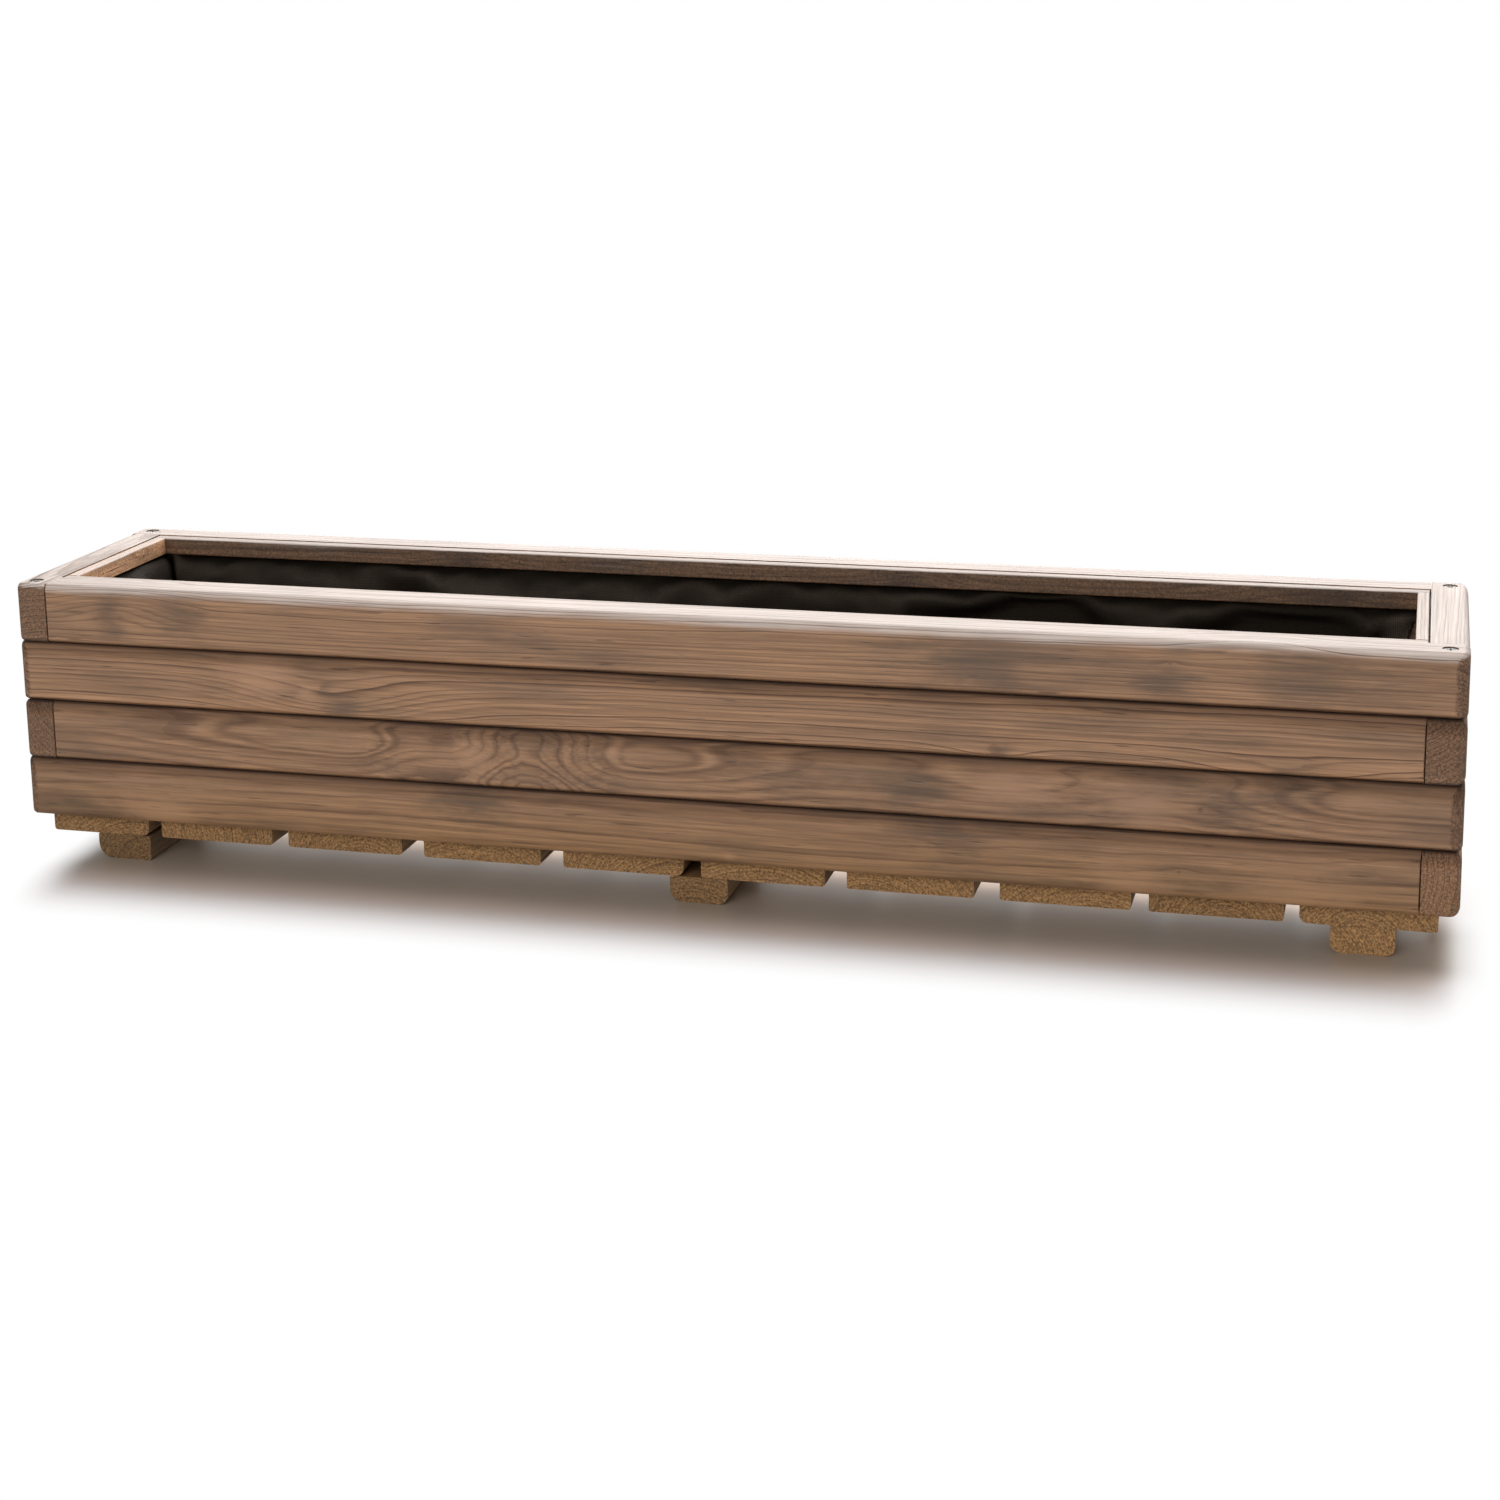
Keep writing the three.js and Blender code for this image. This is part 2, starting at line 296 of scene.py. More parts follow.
# %% The lamps
def softbox(name, place, target, width, height, watts):
    """A rectangular area light that points at a target."""
    data = bpy.data.lights.new(name, "AREA")
    data.shape = "RECTANGLE"
    data.size = width
    data.size_y = height
    data.energy = watts
    lamp = placed(name, data)
    aim = Vector(target) - Vector(place)
    turn = aim.to_track_quat("-Z", "Y").to_matrix().to_4x4()
    lamp.matrix_world = Matrix.Translation(place) @ turn
    lamp.visible_camera = False


softbox("low_back_softbox", (0.1, 2.4, 1.12), (0, 0, 0.15), 4.2, 1.6, 60)
softbox("high_back_softbox", (0.1, 0.7, 2.1), (0, 0, 0.1), 3.4, 1.1, 48)
softbox("front_softbox", (-0.5, -2.6, 1.2), (0, 0, 0.12), 1.8, 1.3, 31)
softbox("glow_under_the_base", mm(0, 40, 18), mm(0, 40, 0), mm(1060), mm(110), 0.4)

# %% [markdown]
# ## What a board remembers of its tree
#
# A photograph wrapped round a rail never looks right, because the lines on its face, its top and
# its sawn end are all cuts through the same growth rings. So each board carries its place in the
# log with it, as attributes of its mesh: how far along the log every point lay, and how far from
# the heart in two directions. The material then works out the rings in space, and every face of the
# board shows the cut it really has. A board cut far from the heart has straight lines. One cut flat
# across the rings has flames where the log bends. A knot goes straight through the board's face.

# %% Giving a board its place in a log
LOG_SPACING = 3.0  # metres of log between one board's figure and the next, so that none repeats
KNOTS_PER_BOARD = 3
STAINS_PER_BOARD = 6
NOTHING = (-1500, 0, 1)  # a knot or stain that lies off the board


def set_vectors(mesh, name, values):
    """Stores one vector for each vertex of a mesh."""
    stored = mesh.attributes.new(name, "FLOAT_VECTOR", "POINT")
    stored.data.foreach_set("vector", [x for value in values for x in value])


def saw_from_log(mesh, run, out, centre, number, up=Vector((0, 0, 1)), heart=(40, 0), lean=0.0,
                 swells=(), rings=3.0, contrast=0.6, tone=1.0, soft=0.0, knots=(), stains=()):
    """Says where in its log a board lay. Sizes are in millimetres.

    run, out and up are unit vectors along the grain, out of the board's face and up that face.
    number sets the piece of log. heart is how far the middle of the log lay behind the face and above
    the board's middle, and lean how much further behind it lay for each metre. A swell is a place
    along the board, how far the log bulges there and half the bulge's length. rings is how far apart
    the rings are, and contrast how dark the summer wood is. soft blurs the edges of the rings, as in
    wood that grew slowly up to its summer. A knot is its place along the board, its height on the
    face and its radius, which is negative for an eye in the figure with no knot in it. A stain is the
    same, and negative where the face is paler.
    """
    behind, above = mm(*heart)
    start = number * LOG_SPACING

    def depth(along):
        bulge = 0
        for at, size, half in swells:
            bulge += mm(size) * math.exp(-(((along - mm(at)) / mm(half)) ** 2))
        return behind + mm(lean) * along + bulge

    places = []
    for vertex in mesh.vertices:
        offset = vertex.co - centre
        along = offset.dot(run)
        places.append((start + along, offset.dot(out) + depth(along), offset.dot(up) - above))
    count = len(places)
    set_vectors(mesh, "log_place", places)
    set_vectors(mesh, "grain", [tuple(run)] * count)
    set_vectors(mesh, "board", [(tone, mm(rings), contrast)] * count)
    set_vectors(mesh, "softness", [(soft, 0, 0)] * count)
    for kind, marks, most in (("knot", knots, KNOTS_PER_BOARD), ("stain", stains, STAINS_PER_BOARD)):
        for i in range(most):
            along, height, radius = mm(*(marks[i] if i < len(marks) else NOTHING))
            set_vectors(mesh, f"{kind}_{i + 1}", [(start + along, height - above, radius)] * count)


# %% [markdown]
# ## The figure of softwood
#
# The rings are the distance from the heart, bent by the slow wander of the trunk and by every
# branch: near a knot the layers part to go round it and run out along it, which draws the eyes and
# flames. In each ring pale spring wood darkens slowly to summer wood and then stops short, so a ring
# has one soft side and one sharp one. This is a node group, because rails, battens, slats and
# bearers all come from such trees.

# %% The knot group
KNOT_STRETCH = 0.34  # the layers round a knot are drawn out along the grain by one over this
KNOT_REACH = 2.6  # how far a knot bends the layers, in its own radii
KNOT_PARTING = 0.62  # how much of the layers' spacing is squeezed away over the knot
KNOT_PULL = 1.1  # how far the rings run out along it, in its own radii
FAR = 99.0  # a distance from a knot, in its own radii, that is far off it

knot_group = bpy.data.node_groups.new("knot", "ShaderNodeTree")
for name, kind in {"Log": "Vector", "Knot": "Vector", "Height": "Float", "Pull": "Float",
                   "Reach": "Float"}.items():
    knot_group.interface.new_socket(name, in_out="INPUT", socket_type=f"NodeSocket{kind}")
given = knot_group.nodes.new("NodeGroupInput").outputs
place = split(knot_group, given["Log"])
knot = split(knot_group, given["Knot"])
size = calc(knot_group, "ABSOLUTE", knot["Z"])
along = calc(knot_group, "SUBTRACT", place["X"], knot["X"])
height = calc(knot_group, "SUBTRACT", place["Z"], knot["Y"])
across = node(knot_group, "ShaderNodeCombineXYZ", {"X": along, "Y": height})
near = vector_calc(knot_group, "MULTIPLY", across, (KNOT_STRETCH, 1, 1))
near = calc(knot_group, "DIVIDE", vector_calc(knot_group, "LENGTH", near), size)
near = bell(knot_group, calc(knot_group, "DIVIDE", near, KNOT_REACH))
parting = calc(knot_group, "MULTIPLY", near, -KNOT_PARTING)
moved = calc(knot_group, "MULTIPLY_ADD", parting, height, given["Height"])
pull = calc(knot_group, "MULTIPLY", near, size)
pull = calc(knot_group, "MULTIPLY_ADD", pull, KNOT_PULL, given["Pull"])
reach = calc(knot_group, "DIVIDE", vector_calc(knot_group, "LENGTH", across), size)
eye = calc(knot_group, "LESS_THAN", knot["Z"], 0.0)
reach = calc(knot_group, "MULTIPLY_ADD", eye, FAR, reach)
reach = calc(knot_group, "MINIMUM", reach, given["Reach"])
hand_out(knot_group, {"Height": moved, "Pull": pull, "Reach": reach})

# %% Rings and knots
figure = bpy.data.node_groups.new("softwood_figure", "ShaderNodeTree")
log = attribute(figure, "log_place")
board = split(figure, attribute(figure, "board"))


def log_noise(waves_per_metre, detail=2.0, rough=0.5):
    """Noise in the log, with its own number of waves per metre along, across and up it."""
    scaled = vector_calc(figure, "MULTIPLY", log, waves_per_metre)
    settings = {"Vector": scaled, "Scale": 1.0, "Detail": detail, "Roughness": rough}
    return node(figure, "ShaderNodeTexNoise", settings)


place = split(figure, log)
height, pull, reach = place["Z"], 0.0, FAR
for i in range(KNOTS_PER_BOARD):
    knot = attribute(figure, f"knot_{i + 1}")
    bent = {"Log": log, "Knot": knot, "Height": height, "Pull": pull, "Reach": reach}
    bent = node(figure, "ShaderNodeGroup", bent, node_tree=knot_group).node.outputs
    height, pull, reach = (bent[name] for name in ("Height", "Pull", "Reach"))

# The trunk's slow wander, the wave of the layers and the fine waver of a single ring: how many waves
# per metre, and how far in metres.
WANDERS = (((1.6, 6, 6), 0.014), ((7, 34, 34), 0.0042), ((38, 170, 170), 0.0009))
section = node(figure, "ShaderNodeCombineXYZ", {"Y": place["Y"], "Z": height})
radius = calc(figure, "ADD", vector_calc(figure, "LENGTH", section), pull)
for waves, size in WANDERS:
    wander = calc(figure, "SUBTRACT", log_noise(waves, detail=1.0), 0.5)
    radius = calc(figure, "MULTIPLY_ADD", wander, size, radius)

rings = calc(figure, "DIVIDE", radius, board["Y"])
seasons = {"W": rings, "Scale": 0.41, "Detail": 2.0}
seasons = node(figure, "ShaderNodeTexNoise", seasons, noise_dimensions="1D")
rings = calc(figure, "MULTIPLY_ADD", seasons, 2.6, rings)
season = calc(figure, "FRACT", rings)
SHARP_RING = ((0, 0.6), (0.07, 0.06), (0.42, 0.08), (0.68, 0.34), (0.83, 0.9), (0.93, 1), (1, 0.8))
sharp = ramp(figure, season, [(position, (dark,) * 3) for position, dark in SHARP_RING])
swing = calc(figure, "SINE", calc(figure, "MULTIPLY_ADD", season, 2 * math.pi, -1.6))
swing = calc(figure, "MULTIPLY_ADD", swing, -0.42, 0.42)
softness = split(figure, attribute(figure, "softness"))["X"]
summer = mix(figure, softness, sharp, swing)
year = {"W": calc(figure, "FLOOR", rings)}
year = node(figure, "ShaderNodeTexWhiteNoise", year, noise_dimensions="1D")

knot_edge = calc(figure, "MULTIPLY_ADD", log_noise((160, 160, 160)), 0.9, reach)
knot_mask = remap(figure, knot_edge, 1.9, 1.1, 0, 1, smooth=True)
knot_years = calc(figure, "SINE", calc(figure, "MULTIPLY", knot_edge, 15.0))
knot_years = calc(figure, "MULTIPLY_ADD", knot_years, 0.5, 0.5)
summer = mix(figure, knot_mask, summer, knot_years)

# %% Stains, fibres and the sawn end
STAIN_STRETCH = 0.6  # a stain is drawn out along the grain by one over this
stain = 0.0
blotch = remap(figure, log_noise((34, 90, 90), detail=3.0, rough=0.6), 0.3, 0.7, 0.5, 1.7)
for i in range(STAINS_PER_BOARD):
    spot = split(figure, attribute(figure, f"stain_{i + 1}"))
    along = calc(figure, "SUBTRACT", place["X"], spot["X"])
    rise = calc(figure, "SUBTRACT", place["Z"], spot["Y"])
    gap = node(figure, "ShaderNodeCombineXYZ", {"X": along, "Y": rise})
    gap = vector_calc(figure, "MULTIPLY", gap, (STAIN_STRETCH, 1, 1))
    gap = calc(figure, "DIVIDE", vector_calc(figure, "LENGTH", gap), spot["Z"])
    gap = bell(figure, calc(figure, "DIVIDE", gap, blotch))
    stain = calc(figure, "MULTIPLY_ADD", gap, calc(figure, "SIGN", spot["Z"]), stain)

fibre = log_noise((9, 480, 480), detail=4.0, rough=0.68)
check = remap(figure, log_noise((30, 420, 420), detail=1.0), 0.69, 0.76, 0, 1)
cloud = log_noise((7, 30, 30), detail=4.0, rough=0.55)
speckle = log_noise((560, 560, 620), detail=3.0, rough=0.8)
grain = attribute(figure, "grain")
sawn = vector_calc(figure, "DOT_PRODUCT", grain, coordinates(figure, "Normal"))
sawn = remap(figure, calc(figure, "ABSOLUTE", sawn), 0.03, 0.24, 0, 1, smooth=True)

hand_out(figure, {"Summer wood": summer, "Year": year, "Knot": knot_mask, "Stain": stain,
                  "Fibre": fibre, "Check": check, "Cloud": cloud, "Sawn end": sawn,
                  "Speckle": speckle})
print("figure nodes:", len(figure.nodes), "knot nodes:", len(knot_group.nodes))

# %% [markdown]
# ## Timber finishes
#
# The rails and battens are planed softwood, pressure-treated brown: the treatment dyes the spring
# wood warm brown, soaks in darker at the sawn ends and clouds the face where it pooled. Planed wood
# keeps a soft gloss at a low angle. The base boards are sawn and cheaper: yellower and rougher, with
# torn fibres. One function makes them all, because only the colours, the gloss and the saw differ.


# %% Timber material
# The grooves between the courses are painted: shade down each rail's rounded top into the joint, and a
# highlight on the rounded foot of the rail above it.
COURSE_FOOT, COURSE_STEP = mm(36.4, 47.2)
GROOVED = mm(45, 205)  # the heights between which there are grooves
RIM = mm(211, 217.5)  # the heights over which the painted highlight on the rim sets in
LOW = mm(78, 46)  # the heights down which the light turns yellower
# The painted shade and highlight through one course, from its foot at 0 to the joint above at 1.
GROOVE_SHADE_AND_HIGHLIGHT = ((0, (0.1, 0.07, 0.06)), (0.03, (0.4, 0.36, 0.33)), (0.065, (0.95, 0.95, 0.95)),
          (0.1, (1.2, 1.2, 1.22)), (0.15, (1, 1, 1)), (0.74, (1, 1, 1)), (0.86, (0.68, 0.66, 0.65)),
          (0.955, (0.58, 0.56, 0.56)), (0.985, (0.28, 0.23, 0.2)), (1, (0.1, 0.07, 0.06)))


def timber(name, colours, gloss, relief, torn, fuzz=0.0):
    """Treated softwood.

    colours are sRGB hex for spring wood, summer wood, pooled treatment, the sawn end, knots, cracks
    and wood that took little of the treatment. gloss is the roughness of the face. relief is the
    height of the summer wood and torn that of the fibres at a sawn end, in millimetres. fuzz is how
    much the saw's torn fibres speckle the face.
    """
    spring, summer, pool, end, knot, crack, bare = (srgb(code) for code in colours)
    material, tree, output = new_material(name)
    parts = node(tree, "ShaderNodeGroup", node_tree=figure).node.outputs
    board = split(tree, attribute(tree, "board"))

    # The rings, the treatment's clouds, the fibres, cracks, knots and stains
    depth = calc(tree, "MULTIPLY", remap(tree, parts["Year"], 0, 1, 0.45, 1.2), board["Z"])
    line = calc(tree, "MULTIPLY", parts["Summer wood"], depth, clamp=True)
    colour = blend(tree, line, spring, summer)
    colour = blend(tree, remap(tree, parts["Cloud"], 0.48, 0.78, 0, 0.85), colour, pool)
    streaked = grey(tree, remap(tree, parts["Fibre"], 0.32, 0.68, 0.7, 1.26))
    colour = shaded(tree, colour, streaked)
    colour = blend(tree, calc(tree, "MULTIPLY", parts["Check"], 0.45), colour, crack)
    colour = blend(tree, calc(tree, "MULTIPLY", parts["Knot"], 0.4), colour, knot)
    dark = remap(tree, parts["Fibre"], 0.35, 0.65, 0.92, 0.5)
    dark = calc(tree, "MULTIPLY", parts["Stain"], dark, clamp=True)
    colour = blend(tree, dark, colour, pool)
    pale = calc(tree, "MULTIPLY", parts["Stain"], -0.5, clamp=True)
    colour = blend(tree, pale, colour, bare)

    # What the saw left on the face and at the ends
    grainy = remap(tree, parts["Speckle"], 0.38, 0.62, 0.5, 1.55)
    colour = blend(tree, fuzz, colour, shaded(tree, colour, grey(tree, grainy)))
    sawn_line = calc(tree, "MULTIPLY_ADD", parts["Summer wood"], -0.5, 1.16)
    end_colour = shaded(tree, end, grey(tree, calc(tree, "MULTIPLY", grainy, sawn_line)))
    colour = blend(tree, parts["Sawn end"], colour, end_colour)
    colour = shaded(tree, colour, grey(tree, board["X"]))

    # The painted highlight on the rim: upward faces of the top course are painted pale
    where = split(tree, coordinates(tree, "Object"))
    upward = split(tree, coordinates(tree, "Normal"))["Z"]
    ragged = calc(tree, "MULTIPLY_ADD", parts["Cloud"], 0.9, upward)
    ragged = calc(tree, "MULTIPLY_ADD", line, -0.22, ragged)
    ragged = remap(tree, ragged, 0.46, 0.96, 0, 0.8, smooth=True)
    rim_highlight = calc(tree, "MULTIPLY", ragged, remap(tree, where["Z"], *RIM, 0, 1))
    uneven = remap(tree, parts["Cloud"], 0.35, 0.65, 0.92, 1.08)
    rim_highlight = calc(tree, "MULTIPLY", rim_highlight, uneven, clamp=True)
    pale_line = calc(tree, "MULTIPLY", line, 0.9)
    rim_highlight_wood = blend(tree, pale_line, srgb("#C2B5AC"), srgb("#846F62"))
    colour = blend(tree, rim_highlight, colour, shaded(tree, rim_highlight_wood, streaked))

    # The painted shade and highlight in the grooves, and the painted yellower light near the floor
    level = calc(tree, "SUBTRACT", where["Z"], COURSE_FOOT)
    level = calc(tree, "FRACT", calc(tree, "MULTIPLY", level, 1 / COURSE_STEP))
    painted_groove_light = ramp(tree, level, GROOVE_SHADE_AND_HIGHLIGHT)
    below_rim = calc(tree, "LESS_THAN", where["Z"], GROOVED[1])
    above_base = calc(tree, "GREATER_THAN", where["Z"], GROOVED[0])
    grooved = calc(tree, "MULTIPLY", below_rim, above_base)
    colour = blend(tree, grooved, colour, shaded(tree, colour, painted_groove_light))
    low = remap(tree, where["Z"], *LOW, 0, 1)
    colour = blend(tree, low, colour, shaded(tree, colour, srgb("#FFFCEB")))

    rough = remap(tree, parts["Cloud"], 0.3, 0.7, gloss - 0.05, gloss + 0.08)
    rough = calc(tree, "MULTIPLY_ADD", parts["Sawn end"], 0.3, rough)
    groove_roughness = remap(tree, level, 0.7, 0.82, 0, 0.45)
    rough = calc(tree, "MULTIPLY_ADD", groove_roughness, grooved, rough)
    rough = calc(tree, "MULTIPLY_ADD", rim_highlight, 0.1, rough)

    height = calc(tree, "MULTIPLY", line, mm(relief))
    height = calc(tree, "MULTIPLY_ADD", parts["Fibre"], mm(0.08), height)
    height = calc(tree, "MULTIPLY_ADD", parts["Check"], mm(-0.15), height)
    torn_end = calc(tree, "MULTIPLY", parts["Sawn end"], mm(torn))
    height = calc(tree, "MULTIPLY_ADD", parts["Speckle"], torn_end, height)
    bump = node(tree, "ShaderNodeBump", {"Height": height, "Strength": 1.0, "Distance": 1.0})
    surface = {"Base Color": colour, "Roughness": rough, "IOR": 1.5, "Normal": bump}
    surface = node(tree, "ShaderNodeBsdfPrincipled", surface)
    tree.links.new(surface, output.inputs["Surface"])
    return material


planed_brown_softwood = timber(
    "planed_brown_treated_softwood",
    ("#997455", "#5E412E", "#5B4839", "#6E513B", "#6E4C36", "#332117", "#B18869"),
    gloss=0.42, relief=0.07, torn=0.5,
)
ripped_brown_softwood = timber(
    "ripped_brown_treated_softwood",
    ("#9C7555", "#644632", "#5C4737", "#6C513E", "#6E4C36", "#332117", "#B58868"),
    gloss=0.5, relief=0.07, torn=0.5, fuzz=0.85,
)
sawn_pale_softwood = timber(
    "sawn_pale_treated_softwood",
    ("#A07C56", "#6B4D33", "#806244", "#93704D", "#7A5A3C", "#3C2B1B", "#BA946C"),
    gloss=0.6, relief=0.12, torn=0.9,
)

# %% [markdown]
# ## Making one timber
#
# Every timber here starts as a cube that is stretched to its CAD node's box. Its long edges were
# rounded in the planing machine and its run-through end with a router, each to its own radius. The
# Bevel modifier can do that in one go, because it scales its width by a weight on each edge. Its
# result is taken as the new mesh, is drilled, and is then cut across at even steps, so that the
# board's place in its log can bend smoothly along it.


# %% Block, round, drill and slice
X, Y, Z = Vector((1, 0, 0)), Vector((0, 1, 0)), Vector((0, 0, 1))
TINY = 1e-5  # metres: places closer than this are the same


def cad_box(name):
    """The two corners of a CAD node's box."""
    return tuple(Vector(corner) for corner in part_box(name))


def profile_in_mm(*points):
    """A profile of (radius, height) in millimetres."""
    return [mm(*point) for point in points]


def block(low, high):
    """A cuboid between two corners."""
    bm = bmesh.new()
    bmesh.ops.create_cube(bm, size=1.0)
    low, high = Vector(low), Vector(high)
    bmesh.ops.scale(bm, vec=high - low, verts=bm.verts)
    bmesh.ops.translate(bm, vec=(low + high) / 2, verts=bm.verts)
    return bm


def finished(mesh, *modifiers):
    """The mesh that an object with these modifiers shows. Each is its type and its settings."""
    shown = placed("workpiece", mesh)
    for kind, settings in modifiers:
        modifier = shown.modifiers.new(kind, kind)
        for name, value in settings.items():
            setattr(modifier, name, value)
    graph = bpy.context.evaluated_depsgraph_get()
    result = bpy.data.meshes.new_from_object(shown.evaluated_get(graph))
    bpy.data.objects.remove(shown)
    bpy.data.meshes.remove(mesh)
    return result


def minus(tool):
    """The modifier that cuts an object's shape away."""
    return "BOOLEAN", {"operation": "DIFFERENCE", "solver": "EXACT", "object": tool}


def rounded_block(low, high, radii, segments=8):
    """A cuboid with rounded edges. radii are pairs of a test on an edge's middle and a radius."""
    bm = block(low, high)
    weight = bm.edges.layers.float.new("bevel_weight_edge")
    widest = max(radius for _, radius in radii)
    for edge in bm.edges:
        middle = (edge.verts[0].co + edge.verts[1].co) / 2
        edge[weight] = max([radius / widest for test, radius in radii if test(middle)], default=0.0)
    rounding = {"limit_method": "WEIGHT", "width": widest, "segments": segments, "profile": 0.5,
                "use_clamp_overlap": False}
    return finished(mesh_from(bm, "block"), ("BEVEL", rounding))


def drilled(mesh, holes):
    """Cuts round holes. Each is a profile of (radius, height) and the matrix that places it."""
    cutter_bm = bmesh.new()
    for profile, matrix in holes:
        turned = turned_profile(profile, 32)
        bmesh.ops.transform(turned, matrix=matrix, verts=turned.verts)
        part = mesh_from(turned, "hole")
        cutter_bm.from_mesh(part)
        bpy.data.meshes.remove(part)
    cutter_mesh = mesh_from(cutter_bm, "holes")
    cutter = placed("holes", cutter_mesh)
    result = finished(mesh, minus(cutter))
    bpy.data.objects.remove(cutter)
    bpy.data.meshes.remove(cutter_mesh)
    return result


def turned_profile(profile, sides):
    """A solid turned about Z from a profile of (radius, height) that starts and ends on the axis."""
    bm = bmesh.new()
    line = [bm.verts.new((radius, 0, height)) for radius, height in profile]
    edges = [bm.edges.new(pair) for pair in zip(line, line[1:])]
    bmesh.ops.spin(bm, geom=line + edges, cent=(0, 0, 0), axis=(0, 0, 1), angle=2 * math.pi,
                   steps=sides, use_merge=True)
    bmesh.ops.remove_doubles(bm, verts=bm.verts, dist=1e-6)
    bmesh.ops.dissolve_degenerate(bm, edges=bm.edges, dist=1e-6)
    bmesh.ops.recalc_face_normals(bm, faces=bm.faces)
    return bm


def cut_across(bm, axis, place, reach=1e-6):
    """Cuts a whole bmesh across an axis at a place, without opening it."""
    everything = [*bm.verts, *bm.edges, *bm.faces]
    bmesh.ops.bisect_plane(bm, geom=everything, dist=reach, plane_co=place, plane_no=axis)


def sliced(mesh, run, low, high, step):
    """Cuts a mesh across the direction run at even steps."""
    bm = bmesh.new()
    bm.from_mesh(mesh)
    length = (high - low).dot(run)
    count = max(1, round(abs(length) / step))
    for i in range(1, count):
        cut_across(bm, run, low + run * (length * i / count))
    bm.to_mesh(mesh)
    bm.free()


def smooth(mesh, material):
    """Gives a mesh its material and soft shading with crisp edges."""
    mesh.shade_smooth()
    mesh.set_sharp_from_angle(angle=math.radians(35))
    mesh.materials.clear()
    mesh.materials.append(material)


def timber_piece(name, mesh, material, slot, *nodes):
    """Makes a finished mesh the piece that stands for some CAD nodes."""
    smooth(mesh, material)
    piece = placed(name, mesh)
    even = piece.modifiers.new("even_shading", "WEIGHTED_NORMAL")
    even.keep_sharp = True
    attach(piece, "root")
    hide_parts(*nodes)
    return piece

# %% [markdown]
# ## The rails
#
# Each course is a ring of four rails laid like a pinwheel: a rail butts against its neighbour at one
# end and runs through to the corner at the other. Alternate courses go the other way round. The
# outer edges are rounded, and so is the run-through end, but the inner edges are left square, as
# the joints need them, and the butt end is only eased, which draws a fine dark line at each joint.

# %% Rail radii and holes
RAIL_TOP, RAIL_FOOT, RAIL_CORNER, RAIL_END, RAIL_BUTT = mm(9, 6.5, 10, 4, 1.2)
SCREW_HOLE = profile_in_mm((0, -180.3), (3.3, -180.3), (3.3, -3.3), (5.6, -1), (5.6, 1.1), (0, 1.1))
DOWEL_HOLE = profile_in_mm((0, -0.15), (4.15, -0.15), (4.15, 35.15), (0, 35.15))
DOWEL_LENGTH = mm(35)
LENGTHWISE_STEP = mm(14)  # how far apart a rail or batten is cut across
COURSES = {"top": 1, "upper": -1, "lower": 1, "bottom": -1}  # 1 where the front rail ends at the right
TURNS = {"front": 0, "right": 1, "back": 2, "left": 3}  # quarter turns of a side from the front
outer = {side: Matrix.Rotation(turn * math.pi / 2, 3, "Z") @ -Y for side, turn in TURNS.items()}


def rail_mesh(level, side):
    """One rail in its CAD node's box, rounded and drilled."""
    low, high = cad_box(f"{level}_{side}_rail")
    middle, half = (low + high) / 2, (high - low) / 2
    out = outer[side]
    run = out.cross(-Z) * COURSES[level]  # from the butt end to the run-through end

    def at(point, axis, side_of=1):
        return abs((point - middle).dot(axis) - side_of * abs(half.dot(axis))) < TINY

    radii = [
        (lambda p: at(p, out) and at(p, Z), RAIL_TOP),
        (lambda p: at(p, out) and at(p, Z, -1), RAIL_FOOT),
        (lambda p: at(p, out) and at(p, run), RAIL_CORNER),
        (lambda p: at(p, run) and (at(p, Z) or at(p, Z, -1)), RAIL_END),
        (lambda p: at(p, out) and at(p, run, -1), RAIL_BUTT),
    ]
    mesh = rounded_block(low, high, radii)
    holes = []
    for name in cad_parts:
        if not name.endswith(("_dowel", "_corner_screw")):
            continue
        tool_low, tool_high = cad_box(name)
        if any(a > b - 1e-4 or c < d + 1e-4 for a, b, c, d in zip(tool_low, high, tool_high, low)):
            continue  # this one lies in another rail
        centre = (tool_low + tool_high) / 2
        if name.endswith("_dowel"):
            axis = X if tool_high.x - tool_low.x > mm(20) else Y
            turn = Z.rotation_difference(axis).to_matrix().to_4x4()
            holes.append((DOWEL_HOLE, Matrix.Translation(centre - axis * DOWEL_LENGTH / 2) @ turn))
        else:
            holes.append((SCREW_HOLE, Matrix.Translation((centre.x, centre.y, tool_high.z))))
    return drilled(mesh, holes), low, high, run, out


